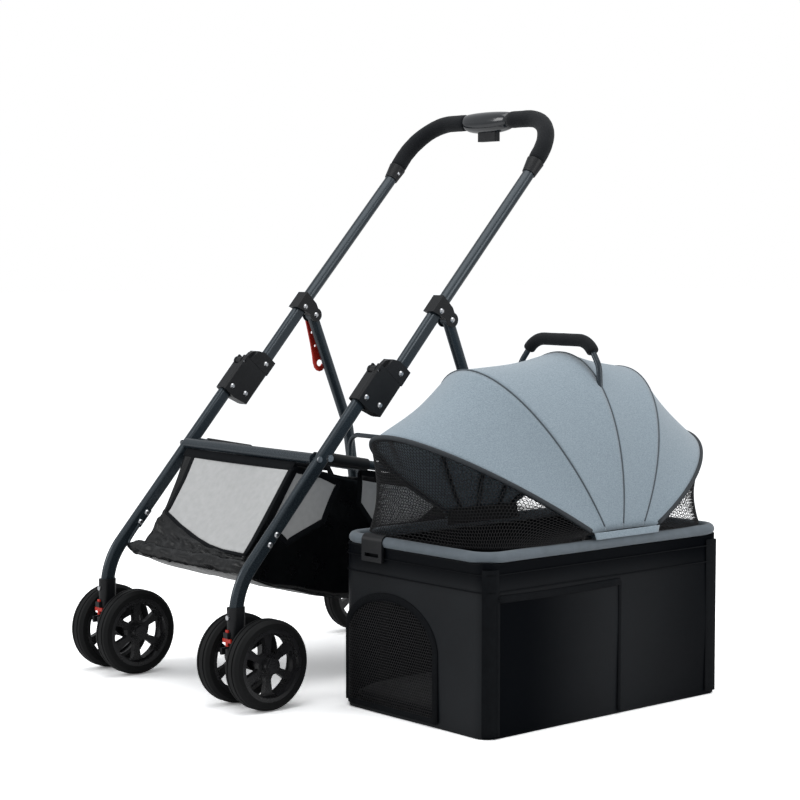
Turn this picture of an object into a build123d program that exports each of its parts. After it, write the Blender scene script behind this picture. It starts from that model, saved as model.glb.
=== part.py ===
from build123d import *
from math import atan2, cos, hypot, radians, sin
import os

# Pet stroller with its lift-off carrier standing beside it, in millimetres.
# While modelling, x = 0 is the middle plane of the chassis, y = 0 the front wheels'
# axle line, z = 0 the ground; -Y is the front and +X the stroller's left side.
# The finished pieces are moved together so that the origin is under the middle of the whole.

# ---- chassis -------------------------------------------------------------------------
track = 386.0                # between the centre planes of the left and right side tubes
leg_angle = 48.4             # front legs, from the ground
flat_tube_depth = 26.0       # flat-oval tube, across the side view
flat_tube_width = 15.0       # flat-oval tube, along X
tube_wall = 1.5
screw_d = 5.0
screw_gap = 0.1              # radial, between a screw and its hole
screw_head_d = 10.0
screw_head_h = 2.2
running = 0.05               # radial clearance of every running fit
seat_gap = 0.3               # between soft or curved neighbours

# casters and wheels
wheel_r = 75.0
wheel_width = 34.0
wheel_spread = 80.0          # between the middles of a caster's two wheels
tyre_depth = 15.0
hub_r = 14.0
axle_r = 5.0
axle_cap_r = 12.0
axle_cap_h = 3.0
wheel_end_gap = 0.5
trail = 32.0                 # swivel axis in front of the axle
stem_r = 5.0
fork_top = 117.5
fork_width = 26.0
collar_gap = 0.5             # between fork and collar
collar_height = 50.0
collar_wall = 3.0
lock_tab = (22.0, 3.0, 12.8)  # width, thickness, height
lock_stem = 6.0

# front legs and fold hinge
leg_corner_z = 196.7         # where the stem's line meets the leg's line
leg_bend_r = 120.0
hinge_start = 389.8          # from that corner along the leg to the housing's lower edge
housing_length = 77.0
housing_wall = 2.5
housing_width = 27.0         # along X
tube_offset = 32.3           # upper tube's line behind the leg's line
pivot_along = 66.0
pivot_above = 10.0
pivot_pin_r = 3.0
ear_r = 8.5
ear_width = 10.0
slot_gap = 0.6
knuckle_length = 31.0
leg_screws_along = (-296.0, -275.0)
leg_screw_rise = -4.0

# handle
bracket_along = 240.0        # from the housing's lower edge to the middle of the leg bracket
bracket_length = 37.0
bracket_drop = 29.7          # rear-leg pivot behind the upper tube's line
bracket_lobe_r = 13.0
push_angle = 47.6
push_tube_r = 11.0
push_straight = 316.0
handle_angle = 52.6284       # slope of its upper part, above the kink
handle_run = 140.5417        # from the kink to the line of the hand bar
handle_bend_r = 88.0
grip_r = 15.0
grip_end_from_kink = 12.0
collar_cone_length = 28.0
release_length = 120.0
release_depth = 38.0
trigger_size = (50.0, 14.0, 22.0)

# rear legs
rear_leg_r = 10.5
rear_bend = (520.0, 410.0)
rear_axle = (568.0, 75.0)
rear_wheel_x = 224.5
rear_bend_r = 90.0
cross_tube_r = 9.5
hub_block = (50.0, 29.0)     # length along Y, width along X
brake_rod = (604.0, 92.0)
brake_rod_r = 4.0
pedal = (90.0, 55.0, 6.0)

# crossbar, carrier rails and basket
crossbar = (137.0, 399.0)
crossbar_r = 9.5
rail_r = 8.0
rail_x = 169.0
rail_front = (159.0, 399.5)
rail_rear = (531.0, 329.0)
rail_bolt_r = 3.0
sleeve_wall = 2.5
sleeve_span = (12.0, 108.0)
loop_r = 4.5
loop_y = 506.0
loop_top = 395.0
basket_half_width = 173.0
basket_wall = 3.0

# ---- carrier, standing beside the chassis ---------------------------------------------
carrier_x = (274.0, 629.0)
carrier_y = (118.0, 671.0)
carrier_height = 289.0
rim_r = 9.0
rim_corner_r = 35.0
tub_inset = 4.0              # tub's face inside the rim's outer edge
tub_wall = 3.0
tub_corner_r = 24.0
board_height = 5.0
cushion_height = 28.0
cushion_gap = 6.0
window_x = (288.0, 506.0)
window_top = 190.0
window_sill = 12.0
hoop_r = 3.5
pivot_rise = 8.3             # hoop pivots above the rim's top
hoop_eye_r = 7.0
hoop_eye_width = 7.6
hoop_pin_r = 2.5
cloth = 1.8                  # canopy cloth and net
end_lift = 3.4               # cloth's lift off the two end hoops
# pivot along the carrier, height of the arch, lean from upright (front negative)
hoops = {
    1: (242.0, 319.0, -60.7),
    2: (270.0, 294.0, -29.8),
    3: (306.0, 278.0, 6.0),
    4: (352.0, 278.0, 26.7),
    5: (378.0, 271.0, 61.0),
}
net_front = (214.0, 200.0, -89.0)  # where the nets meet the rim
net_rear = (402.0, 138.0, 89.0)
carry_foot_x = 97.0          # half width of the handle's feet on the middle hoop
carry_elbow = (92.0, -16.0)  # where an arm turns in: half width, height over the hoop's top
carry_half = 62.0
carry_rise = 26.0            # handle's top line above the middle hoop
carry_bend_r = 42.0
carry_bar_r = 5.0
carry_grip_r = 10.5
carry_grip_drop = 24.0       # how far the foam runs down each arm from its top corner
clip = (50.0, 5.0, 42.0)     # buckle plate: width, thickness, height below the rim's top
clip_x = 361.0
clip_wall = 2.2              # of the strap that holds it to the rim

# ---- lines and points shared by several pieces ------------------------------------------
half_track = track / 2
along_leg = (cos(radians(leg_angle)), sin(radians(leg_angle)))


def on_leg(distance, rise):
    """Side-view point at a distance up the leg from the housing's lower edge."""
    corner_y, corner_z = -trail, leg_corner_z
    reach = hinge_start + distance
    return (corner_y + reach * along_leg[0] - rise * along_leg[1],
            corner_z + reach * along_leg[1] + rise * along_leg[0])


def side(x):
    """Side-view plane at x: its own x is +Y and its own y is +Z."""
    return Plane(origin=(x, 0, 0), x_dir=(0, 1, 0), z_dir=(1, 0, 0))


def rod(point, x0, x1, radius, mode=Mode.ADD):
    """Round bar along X through a side-view point."""
    with BuildSketch(side(x0)) as profile:
        with Locations(point):
            Circle(radius)
    extrude(profile.sketch, amount=x1 - x0, mode=mode)


def slab(points, x0, x1, mode=Mode.ADD):
    """Side-view polygon, given thickness along X."""
    with BuildSketch(side(x0)) as profile:
        Polygon(*points, align=None)
    extrude(profile.sketch, amount=x1 - x0, mode=mode)


def pipe(path, radius, inner=0.0):
    """Round tube along a wire."""
    with BuildSketch(Plane(origin=path @ 0, z_dir=path % 0)) as profile:
        Circle(radius)
        if inner > 0:
            Circle(inner, mode=Mode.SUBTRACT)
    sweep(profile.sketch, path=path)


def rivet(point, x0, x1, radius=screw_d / 2, head_r=screw_head_d / 2):
    """Screw along X with a domed head at each end, seated on the faces at x0 and x1."""
    with BuildSketch(Plane.XY) as profile:
        with BuildLine():
            Polyline((x0 - screw_head_h, 0), (x0 - screw_head_h, head_r * 0.6), (x0, head_r),
                     (x0, radius), (x1, radius), (x1, head_r), (x1 + screw_head_h, head_r * 0.6),
                     (x1 + screw_head_h, 0), close=True)
        make_face()
    revolve(profile.sketch.moved(Location((0, point[0], point[1]))),
            axis=Axis((0, point[0], point[1]), (1, 0, 0)))


def both_sides():
    mirror(about=Plane.YZ)


pivot = on_leg(pivot_along, pivot_above)
rear_pivot = on_leg(bracket_along, -tube_offset - bracket_drop)
push_start = on_leg(bracket_along + 5, -tube_offset)
push_kink = (push_start[0] + push_straight * cos(radians(push_angle)),
             push_start[1] + push_straight * sin(radians(push_angle)))
upper_angle = radians(handle_angle)
handle_reach = (push_kink[0] + handle_run * cos(upper_angle),
                push_kink[1] + handle_run * sin(upper_angle))
housing_x = (half_track - housing_width / 2, half_track + housing_width / 2)
tube_x = (half_track - flat_tube_width / 2, half_track + flat_tube_width / 2)
housing_screws = (on_leg(14, 1), on_leg(22, -tube_offset + 1))
knuckle_screw = on_leg(housing_length + 16, -tube_offset)
bracket_screw = on_leg(bracket_along - 5, -tube_offset)
leg_screws = [on_leg(a, leg_screw_rise) for a in leg_screws_along]
rail_angle = atan2(rail_rear[1] - rail_front[1], rail_rear[0] - rail_front[0])
rail_length = hypot(rail_rear[0] - rail_front[0], rail_rear[1] - rail_front[1])


def on_rail(distance, rise=0.0):
    return (rail_front[0] + distance * cos(rail_angle) - rise * sin(rail_angle),
            rail_front[1] + distance * sin(rail_angle) + rise * cos(rail_angle))


pieces = {}


def keep(builder, name):
    builder.part.label = name
    pieces[name] = builder.part


# ---- front legs: flat-oval steel tube, bent to a vertical stem ----------------------------
leg_bottom = fork_top + collar_gap + 14.0
tube_in_housing = 45.0
with BuildPart() as front_legs:
    with BuildLine(side(half_track)) as leg_line:
        FilletPolyline((-trail, leg_bottom), (-trail, leg_corner_z), on_leg(tube_in_housing, 0),
                       radius=leg_bend_r)
    with BuildSketch(Plane(origin=(half_track, -trail, leg_bottom), x_dir=(0, 1, 0), z_dir=(0, 0, 1))):
        SlotOverall(flat_tube_depth, flat_tube_width)
        SlotOverall(flat_tube_depth - 2 * tube_wall, flat_tube_width - 2 * tube_wall,
                    mode=Mode.SUBTRACT)
    sweep(path=leg_line.wires()[0])
    for point in leg_screws + [housing_screws[0], crossbar]:
        rod(point, tube_x[0] - 1, tube_x[1] + 1, screw_d / 2 + screw_gap, Mode.SUBTRACT)
    rod(rail_front, tube_x[0] - 1, tube_x[1] + 1, rail_bolt_r + screw_gap, Mode.SUBTRACT)
    both_sides()
keep(front_legs, "front_legs")

# ---- front crossbar: round tube between the legs, coped onto them with a screw at each end
with BuildPart() as front_crossbar:
    rod(crossbar, -tube_x[0], tube_x[0], crossbar_r)
    rod(crossbar, -tube_x[0], tube_x[0], crossbar_r - tube_wall, Mode.SUBTRACT)
    for s in (-1, 1):
        rod(crossbar, s * tube_x[0], s * (tube_x[0] - 12), crossbar_r - tube_wall)
        rod(crossbar, s * tube_x[0], s * (tube_x[0] - 12), screw_d / 2 + screw_gap, Mode.SUBTRACT)
keep(front_crossbar, "front_crossbar")

# ---- fold hinge housing: moulded body that holds the leg's end ----------------------------
front_edge = flat_tube_depth / 2 + housing_wall
rear_edge = -tube_offset - flat_tube_depth / 2 - housing_wall
with BuildPart() as hinge_housings:
    slab([on_leg(0, front_edge), on_leg(0, -front_edge), on_leg(9, rear_edge),
          on_leg(housing_length, rear_edge), on_leg(housing_length, front_edge)], *housing_x)
    long_edges = edges().filter_by(lambda e: abs(e.length - housing_length) < 12)
    chamfer(long_edges.filter_by(Axis.X, reverse=True), 3.5)
    with BuildSketch(side(half_track - flat_tube_width / 2)):
        with Locations(Location((*on_leg(tube_in_housing / 2 - 1, 0), 0), (0, 0, leg_angle))):
            Rectangle(tube_in_housing + 2, flat_tube_depth)
    extrude(amount=flat_tube_width, mode=Mode.SUBTRACT)
    # slot for the knuckle's ear, open to the top and the front
    slot_x = (half_track - ear_width / 2 - slot_gap, half_track + ear_width / 2 + slot_gap)
    slab([on_leg(pivot_along - ear_r - 1, front_edge + 9), on_leg(pivot_along - ear_r - 1, 0),
          on_leg(housing_length + 1, -13), on_leg(housing_length + 1, front_edge + 9)],
         *slot_x, mode=Mode.SUBTRACT)
    # ears that carry the hinge pin
    for x0, x1 in ((housing_x[0] + 3.5, slot_x[0]), (slot_x[1], housing_x[1] - 3.5)):
        rod(pivot, x0, x1, ear_r)
    rod(pivot, *housing_x, pivot_pin_r, Mode.SUBTRACT)
    for point in housing_screws:
        rod(point, *housing_x, screw_d / 2 + screw_gap, Mode.SUBTRACT)
    # pocket that the latch bolt drops into
    slab([on_leg(housing_length - 6, -tube_offset - 5), on_leg(housing_length - 6, -tube_offset + 5),
          on_leg(housing_length + 1, -tube_offset + 5), on_leg(housing_length + 1, -tube_offset - 5)],
         half_track - 5, half_track + 5, mode=Mode.SUBTRACT)
    both_sides()
keep(hinge_housings, "hinge_housings")

with BuildPart() as hinge_pins:
    rod(pivot, housing_x[0] + 3.5, housing_x[1] - 3.5, pivot_pin_r)
    both_sides()
keep(hinge_pins, "hinge_pins")

# ---- knuckle: moulded foot of the upper tube, with the ear that turns on the hinge pin ------
lift = 0.5
tube_in_knuckle = 22.0
with BuildPart() as hinge_knuckles:
    slab([on_leg(housing_length + lift, rear_edge), on_leg(housing_length + knuckle_length, rear_edge),
          on_leg(housing_length + knuckle_length, -tube_offset + front_edge),
          on_leg(housing_length + 24, -3), on_leg(housing_length + lift, 1)], *housing_x)
    ear_x = (half_track - ear_width / 2, half_track + ear_width / 2)
    slab([on_leg(pivot_along - 2, pivot_above - ear_r + 0.8), on_leg(pivot_along + 6, pivot_above),
          on_leg(pivot_along + 14, pivot_above - 4), on_leg(pivot_along + 26, pivot_above - 6),
          on_leg(housing_length + 24, -3), on_leg(housing_length + 9, -3)], *ear_x)
    rod(pivot, *ear_x, ear_r - 0.7)
    rod(pivot, *ear_x, pivot_pin_r + running, Mode.SUBTRACT)
    with BuildSketch(side(half_track - flat_tube_width / 2)):
        with Locations(Location((*on_leg(housing_length + knuckle_length - tube_in_knuckle / 2 + 1,
                                         -tube_offset), 0), (0, 0, leg_angle))):
            Rectangle(tube_in_knuckle + 2, flat_tube_depth)
    extrude(amount=flat_tube_width, mode=Mode.SUBTRACT)
    rod(knuckle_screw, *housing_x, screw_d / 2 + screw_gap, Mode.SUBTRACT)
    # guide for the latch bolt
    slab([on_leg(housing_length, -tube_offset - 3.2), on_leg(housing_length, -tube_offset + 3.2),
          on_leg(housing_length + 10, -tube_offset + 3.2),
          on_leg(housing_length + 10, -tube_offset - 3.2)],
         half_track - 3.2, half_track + 3.2, mode=Mode.SUBTRACT)
    both_sides()
keep(hinge_knuckles, "hinge_knuckles")

# ---- latch bolts: sprung square bolts in the knuckles, drawn up by the trigger's cables ------
bolt_half = 3.0
with BuildPart() as latch_bolts:
    slab([on_leg(housing_length - 4, -tube_offset - bolt_half),
          on_leg(housing_length - 4, -tube_offset + bolt_half),
          on_leg(housing_length + 4.5, -tube_offset + bolt_half),
          on_leg(housing_length + 4.5, -tube_offset - bolt_half)],
         half_track - bolt_half, half_track + bolt_half)
    both_sides()
keep(latch_bolts, "latch_bolts")

# ---- mid tubes: flat-oval, from knuckle to leg bracket ------------------------------------
mid_start = housing_length + knuckle_length - tube_in_knuckle
mid_end = bracket_along + 2
with BuildPart() as mid_tubes:
    start_y, start_z = on_leg(mid_start, -tube_offset)
    with BuildSketch(Plane(origin=(half_track, start_y, start_z), x_dir=(1, 0, 0),
                           z_dir=(0, along_leg[0], along_leg[1]))):
        SlotOverall(flat_tube_depth, flat_tube_width, rotation=90)
        SlotOverall(flat_tube_depth - 2 * tube_wall, flat_tube_width - 2 * tube_wall, rotation=90,
                    mode=Mode.SUBTRACT)
    extrude(amount=mid_end - mid_start)
    for point in (knuckle_screw, bracket_screw):
        rod(point, tube_x[0] - 1, tube_x[1] + 1, screw_d / 2 + screw_gap, Mode.SUBTRACT)
    both_sides()
keep(mid_tubes, "mid_tubes")

# ---- leg brackets: moulded socket round both tubes, with a lobe that holds the rear leg -------
bracket_half = bracket_length / 2
with BuildPart() as leg_brackets:
    front = -tube_offset + front_edge
    slab([on_leg(bracket_along - bracket_half, front),
          on_leg(bracket_along - bracket_half + 9, rear_edge),
          on_leg(bracket_along - 8, -tube_offset - bracket_drop),
          on_leg(bracket_along + 10, -tube_offset - bracket_drop),
          on_leg(bracket_along + bracket_half - 2, rear_edge),
          on_leg(bracket_along + bracket_half, front)], *housing_x)
    rod(rear_pivot, *housing_x, bracket_lobe_r)
    with BuildSketch(side(tube_x[0])):
        with Locations(Location((*on_leg(bracket_along - bracket_half, -tube_offset), 0),
                                (0, 0, leg_angle))):
            Rectangle(2 * (mid_end - bracket_along + bracket_half), flat_tube_depth)
    extrude(amount=flat_tube_width, mode=Mode.SUBTRACT)
    # socket for the push bar
    with BuildSketch(Plane(origin=(half_track, *push_start), x_dir=(1, 0, 0),
                           z_dir=(0, cos(radians(push_angle)), sin(radians(push_angle))))):
        Circle(push_tube_r)
    extrude(amount=40, mode=Mode.SUBTRACT)
    # room for the rear leg's head, between the lobe's cheeks
    cheek_x = (half_track - rear_leg_r - seat_gap, half_track + rear_leg_r + seat_gap)
    cheek_floor = -tube_offset - bracket_drop + rear_leg_r + 0.6
    slab([on_leg(bracket_along - 26, cheek_floor), on_leg(bracket_along + 26, cheek_floor),
          on_leg(bracket_along + 26, cheek_floor - 30), on_leg(bracket_along - 26, cheek_floor - 30)],
         *cheek_x, mode=Mode.SUBTRACT)
    rod(rear_pivot, *housing_x, screw_d / 2 + screw_gap, Mode.SUBTRACT)
    rod(bracket_screw, *housing_x, screw_d / 2 + screw_gap, Mode.SUBTRACT)
    both_sides()
keep(leg_brackets, "leg_brackets")

# ---- push bar: one round tube bent round the top; it plugs into both leg brackets ------------
with BuildPart() as push_bar:
    with BuildLine() as bar_line:
        FilletPolyline((half_track, *push_start), (half_track, *push_kink),
                       (half_track, *handle_reach), (-half_track, *handle_reach),
                       (-half_track, *push_kink), (-half_track, *push_start),
                       radius=handle_bend_r)
    pipe(bar_line.wires()[0], push_tube_r, push_tube_r - tube_wall)
keep(push_bar, "push_bar")


def above_kink(distance):
    return (push_kink[0] + distance * cos(upper_angle), push_kink[1] + distance * sin(upper_angle))


# ---- grip collars: tapered rings that close the lower ends of the foam -----------------------
collar_start = 6.0
collar_plane = Plane(origin=(half_track, *above_kink(collar_start)), x_dir=(1, 0, 0),
                     z_dir=(0, cos(upper_angle), sin(upper_angle)))
with BuildPart() as grip_collars:
    with BuildSketch(collar_plane):
        Circle(push_tube_r + 2)
    extrude(amount=collar_cone_length, taper=-7)
    with BuildSketch(collar_plane):
        Circle(push_tube_r)
    extrude(amount=collar_cone_length, mode=Mode.SUBTRACT)
    both_sides()
keep(grip_collars, "grip_collars")

# ---- foam grips: sleeves over the two bends, from the collars to the release housing -----------
foam_start = above_kink(collar_start + collar_cone_length)
with BuildPart() as foam_grips:
    with BuildLine() as foam_line:
        FilletPolyline((half_track, *foam_start), (half_track, *handle_reach),
                       (release_length / 2, *handle_reach), radius=handle_bend_r)
    pipe(foam_line.wires()[0], grip_r, push_tube_r)
    both_sides()
keep(foam_grips, "foam_grips")

# ---- release housing: clamped round the middle of the hand bar, with the trigger below ---------
trigger_slot = (trigger_size[0] + 1, trigger_size[1] + 1)
flange = (6.0, 2.5)
housing_low = -22.0
housing_high = 14.0
with BuildPart() as release_housing:
    with BuildSketch(side(-release_length / 2)) as profile:
        with Locations((handle_reach[0], handle_reach[1] + (housing_low + housing_high) / 2)):
            RectangleRounded(release_depth, housing_high - housing_low, 9)
    extrude(amount=release_length)
    chamfer(faces().filter_by(Axis.X).edges(), 2.5)
    rod(handle_reach, -release_length, release_length, push_tube_r, Mode.SUBTRACT)
    with Locations((0, handle_reach[0], handle_reach[1] + housing_low + 2.5)):
        Box(trigger_size[0] + flange[0] + 1, trigger_size[1] + flange[0] + 1, 8,
            align=(Align.CENTER, Align.CENTER, Align.MIN), mode=Mode.SUBTRACT)
    with Locations((0, handle_reach[0], handle_reach[1] + housing_low)):
        Box(*trigger_slot, 8, align=(Align.CENTER, Align.CENTER, Align.CENTER), mode=Mode.SUBTRACT)
keep(release_housing, "release_housing")

trigger_top = handle_reach[1] + housing_low + 5.5
with BuildPart() as trigger:
    with Locations((0, handle_reach[0], trigger_top)):
        Box(*trigger_size, align=(Align.CENTER, Align.CENTER, Align.MAX))
        Box(trigger_size[0] + flange[0], trigger_size[1] + flange[0], flange[1],
            align=(Align.CENTER, Align.CENTER, Align.MAX))
    fillet(edges().filter_by(Axis.Z).sort_by(Axis.Z)[:4], 3)
keep(trigger, "trigger")

# ---- rear legs: round tube, bent once above the axle ---------------------------------------
block_top = 120.0
leg_foot_z = 92.0
rear_slope = (rear_axle[0] - rear_bend[0]) / (rear_bend[1] - rear_axle[1])
leg_foot = (rear_axle[0] - (leg_foot_z - rear_axle[1]) * rear_slope, leg_foot_z)
with BuildPart() as rear_legs:
    with BuildLine(side(half_track)) as rear_line:
        FilletPolyline(leg_foot, rear_bend, rear_pivot, radius=rear_bend_r)
    pipe(rear_line.wires()[0], rear_leg_r, rear_leg_r - tube_wall)
    rod(rear_pivot, half_track - rear_leg_r + 1, half_track + rear_leg_r - 1, rear_leg_r)
    rod(rear_pivot, half_track - rear_leg_r, half_track + rear_leg_r, screw_d / 2 + running,
        Mode.SUBTRACT)
    # welded stud that carries the end of the side rail
    rod(rail_rear, rail_x + rail_r + seat_gap, half_track, 7)
    rod(rail_rear, rail_x - rail_r - seat_gap, half_track, rail_bolt_r)
    rod(rail_rear, rail_x - rail_r - seat_gap - 4, rail_x - rail_r - seat_gap, 6)
    both_sides()
keep(rear_legs, "rear_legs")

# ---- rear hub blocks: moulded feet of the rear legs, bored for the axle ----------------------
block_x = (178.0, 178.0 + hub_block[1])
with BuildPart() as rear_hub_blocks:
    slab([(rear_axle[0] - 20, rear_axle[1] - 7), (rear_axle[0] - 12, rear_axle[1] - 15),
          (rear_axle[0] + 16, rear_axle[1] - 15), (brake_rod[0] + 9, brake_rod[1] - 10),
          (brake_rod[0] + 9, brake_rod[1] + 9), (brake_rod[0] - 1, brake_rod[1] + 15),
          (rear_axle[0] + 12, block_top), (rear_axle[0] - 19, block_top)], *block_x)
    chamfer(faces().filter_by(Axis.X).edges(), 1.5)
    foot_dir = (0, rear_slope, -1)
    with BuildSketch(Plane(origin=(half_track, rear_axle[0] - (block_top + 20 - rear_axle[1]) * rear_slope,
                                   block_top + 20), x_dir=(1, 0, 0), z_dir=foot_dir)):
        Circle(rear_leg_r)
    extrude(amount=(block_top + 20 - leg_foot_z) * hypot(1, rear_slope), mode=Mode.SUBTRACT)
    rod(rear_axle, *block_x, axle_r, Mode.SUBTRACT)
    rod(brake_rod, *block_x, brake_rod_r + running, Mode.SUBTRACT)
    both_sides()
keep(rear_hub_blocks, "rear_hub_blocks")

with BuildPart() as rear_cross_tube:
    rod(rear_axle, -block_x[0], block_x[0], cross_tube_r)
    rod(rear_axle, -block_x[0], block_x[0], cross_tube_r - tube_wall, Mode.SUBTRACT)
    for s in (-1, 1):
        rod(rear_axle, s * block_x[0], s * (block_x[0] - 10), cross_tube_r - tube_wall)
        rod(rear_axle, s * block_x[0], s * (block_x[0] - 10), axle_r, Mode.SUBTRACT)
keep(rear_cross_tube, "rear_cross_tube")

axle_end = rear_wheel_x + wheel_width / 2 + wheel_end_gap
with BuildPart() as rear_axle_rod:
    rod(rear_axle, -axle_end, axle_end, axle_r)
    for s in (-1, 1):
        rod(rear_axle, s * axle_end, s * (axle_end + axle_cap_h), axle_cap_r)
keep(rear_axle_rod, "rear_axle")

# ---- brake bar: rod between the hub blocks with a foot pedal in the middle --------------------
with BuildPart() as brake_bar:
    rod(brake_rod, -block_x[1] + 4, block_x[1] - 4, brake_rod_r)
    slab([(brake_rod[0] - 7, brake_rod[1] - 6), (brake_rod[0] - 7, brake_rod[1] + 6),
          (brake_rod[0] + 8, brake_rod[1] + 7), (brake_rod[0] + pedal[1], brake_rod[1] - 4),
          (brake_rod[0] + pedal[1] - 1, brake_rod[1] - 10)], -pedal[0] / 2, pedal[0] / 2)
keep(brake_bar, "brake_bar")


def make_tyre(x):
    """Solid tyre with rounded shoulders and two grooves, on a wheel whose axle is at y = 0."""
    half = wheel_width / 2
    inner = wheel_r - tyre_depth
    with BuildPart() as tyre:
        with BuildSketch(Plane.XY) as profile:
            Polygon((x - half, inner), (x - half, wheel_r - 6), (x - half + 5, wheel_r - 0.8),
                    (x - 7.5, wheel_r), (x - 7, wheel_r - 1.8), (x - 5, wheel_r - 1.8),
                    (x - 4.5, wheel_r), (x + 4.5, wheel_r), (x + 5, wheel_r - 1.8),
                    (x + 7, wheel_r - 1.8), (x + 7.5, wheel_r), (x + half - 5, wheel_r - 0.8),
                    (x + half, wheel_r - 6), (x + half, inner), align=None)
        revolve(profile.sketch, axis=Axis.X)
    return tyre.part


def make_hub(x):
    """Moulded hub: rim ring, dished disc with six openings between its spokes, and a boss."""
    half = wheel_width / 2
    inner = wheel_r - tyre_depth
    with BuildPart() as hub:
        rod((0, 0), x - half + 1, x + half - 1, inner)
        for s in (-1, 1):
            rod((0, 0), x + s * (half - 1), x + s * 5, inner - 7, Mode.SUBTRACT)
        rod((0, 0), x - half, x + half, hub_r)
        with BuildSketch(side(x - half)) as openings:
            with PolarLocations(0, 6):
                Polygon((20, -4.5), (26, -9), (46, -17), (49.5, -12), (49.5, 12), (46, 17), (26, 9),
                        (20, 4.5), align=None)
        extrude(openings.sketch, amount=wheel_width, mode=Mode.SUBTRACT)
        rod((0, 0), x - half, x + half, axle_r + running, Mode.SUBTRACT)
    return hub.part


for side_name, s in (("left", 1), ("right", -1)):
    shift = Location((0, rear_axle[0], rear_axle[1]))
    tyre = make_tyre(s * rear_wheel_x).moved(shift)
    hub = make_hub(s * rear_wheel_x).moved(shift)
    for piece, name in ((tyre, "rear_tyre_"), (hub, "rear_hub_")):
        piece.label = name + side_name
        pieces[piece.label] = piece

# ---- caster collars: moulded feet of the front legs, bored for the swivel stem -----------------
collar_low = fork_top + collar_gap
collar_top = collar_low + collar_height
collar_front = -trail - flat_tube_depth / 2 - collar_wall
bridge_depth = 5.6
tab_gap = 0.3
tab_y = collar_front - tab_gap - lock_tab[1] / 2
with BuildPart() as caster_collars:
    with BuildSketch(Plane.XY.offset(collar_low)):
        with Locations(Location((half_track, -trail), 90)):
            SlotOverall(flat_tube_depth + 2 * collar_wall, flat_tube_width + 2 * collar_wall)
    extrude(amount=collar_height)
    with BuildSketch(Plane(origin=(half_track, -trail, leg_bottom), x_dir=(0, 1, 0), z_dir=(0, 0, 1))):
        SlotOverall(flat_tube_depth, flat_tube_width)
    sweep(path=leg_line.wires()[0], mode=Mode.SUBTRACT)
    with BuildSketch(Plane.XY.offset(collar_low)):
        with Locations((half_track, -trail)):
            Circle(stem_r + running)
    extrude(amount=collar_height, mode=Mode.SUBTRACT)
    # bridge that guides the swivel lock
    with BuildSketch(Plane.XY.offset(collar_low + 1)):
        with Locations((half_track, collar_front - bridge_depth / 2 + 1)):
            Rectangle(11.2, bridge_depth + 2)
    extrude(amount=9)
    with BuildSketch(Plane.XY.offset(collar_low)):
        with Locations((half_track, tab_y)):
            Rectangle(lock_stem + 2 * tab_gap, lock_tab[1] + 2 * tab_gap)
    extrude(amount=20, mode=Mode.SUBTRACT)
    with BuildSketch(Plane(origin=(half_track, -trail, 152), x_dir=(1, 0, 0), z_dir=(0, -1, 0))):
        Circle(screw_d / 2 + screw_gap)
    extrude(amount=40, mode=Mode.SUBTRACT)
    both_sides()
keep(caster_collars, "caster_collars")

for side_name, s in (("left", 1), ("right", -1)):
    x = s * half_track
    # ---- caster fork: crown on the stem and one arm back to the axle, between the twin wheels ----
    with BuildPart() as fork:
        with BuildSketch(Plane.XY.offset(fork_top - 14)):
            with Locations((x, -trail)):
                Circle(16)
        extrude(amount=14)
        with BuildSketch(Plane.XY.offset(fork_top - 1)):
            with Locations((x, -trail)):
                Circle(stem_r)
        extrude(amount=14)
        slab([(-trail - 12, fork_top - 13), (-trail + 14, fork_top - 13), (-trail + 17, wheel_r + 20),
              (13, wheel_r + 6), (14, wheel_r - 8), (6, wheel_r - 14), (-8, wheel_r - 13),
              (-trail - 8, wheel_r + 12)], x - fork_width / 2, x + fork_width / 2)
        rod((0, wheel_r), x - wheel_spread / 2 + wheel_width / 2 + wheel_end_gap,
            x + wheel_spread / 2 - wheel_width / 2 - wheel_end_gap, 11)
        rod((0, wheel_r), x - 30, x + 30, axle_r, Mode.SUBTRACT)
        # notched lug for the swivel lock
        with BuildSketch(Plane.XY.offset(fork_top - 26)):
            for side_x in (-1, 1):
                with Locations((x + side_x * 8.0, -trail - 18)):
                    Rectangle(6, 14)
            with Locations((x, -trail - 13)):
                Rectangle(22, 6)
        extrude(amount=11)
    fork.part.label = "caster_fork_" + side_name
    pieces[fork.part.label] = fork.part

    caster_end = wheel_spread / 2 + wheel_width / 2 + wheel_end_gap
    with BuildPart() as caster_axle:
        rod((0, wheel_r), x - caster_end, x + caster_end, axle_r)
        rod((0, wheel_r), x - caster_end - axle_cap_h, x - caster_end, axle_cap_r)
        rod((0, wheel_r), x + caster_end, x + caster_end + axle_cap_h, axle_cap_r)
    caster_axle.part.label = "caster_axle_" + side_name
    pieces[caster_axle.part.label] = caster_axle.part

    up = Location((0, 0, wheel_r))
    tyres = Compound([make_tyre(x + k * wheel_spread / 2).moved(up) for k in (-1, 1)])
    hubs = Compound([make_hub(x + k * wheel_spread / 2).moved(up) for k in (-1, 1)])
    for piece, name in ((tyres, "caster_tyres_"), (hubs, "caster_hubs_")):
        piece.label = name + side_name
        pieces[piece.label] = piece

    # ---- swivel lock: red T-shaped tab that drops between the fork's lugs -----------------------
    with BuildPart() as swivel_lock:
        with Locations((x, tab_y, collar_low + 14)):
            Box(lock_stem, lock_tab[1], 14 + lock_tab[2], align=(Align.CENTER, Align.CENTER, Align.MAX))
        with Locations((x, tab_y, collar_low - 0.5)):
            Box(lock_tab[0], lock_tab[1], 6, align=(Align.CENTER, Align.CENTER, Align.MAX))
    swivel_lock.part.label = "swivel_lock_" + side_name
    pieces[swivel_lock.part.label] = swivel_lock.part

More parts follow.
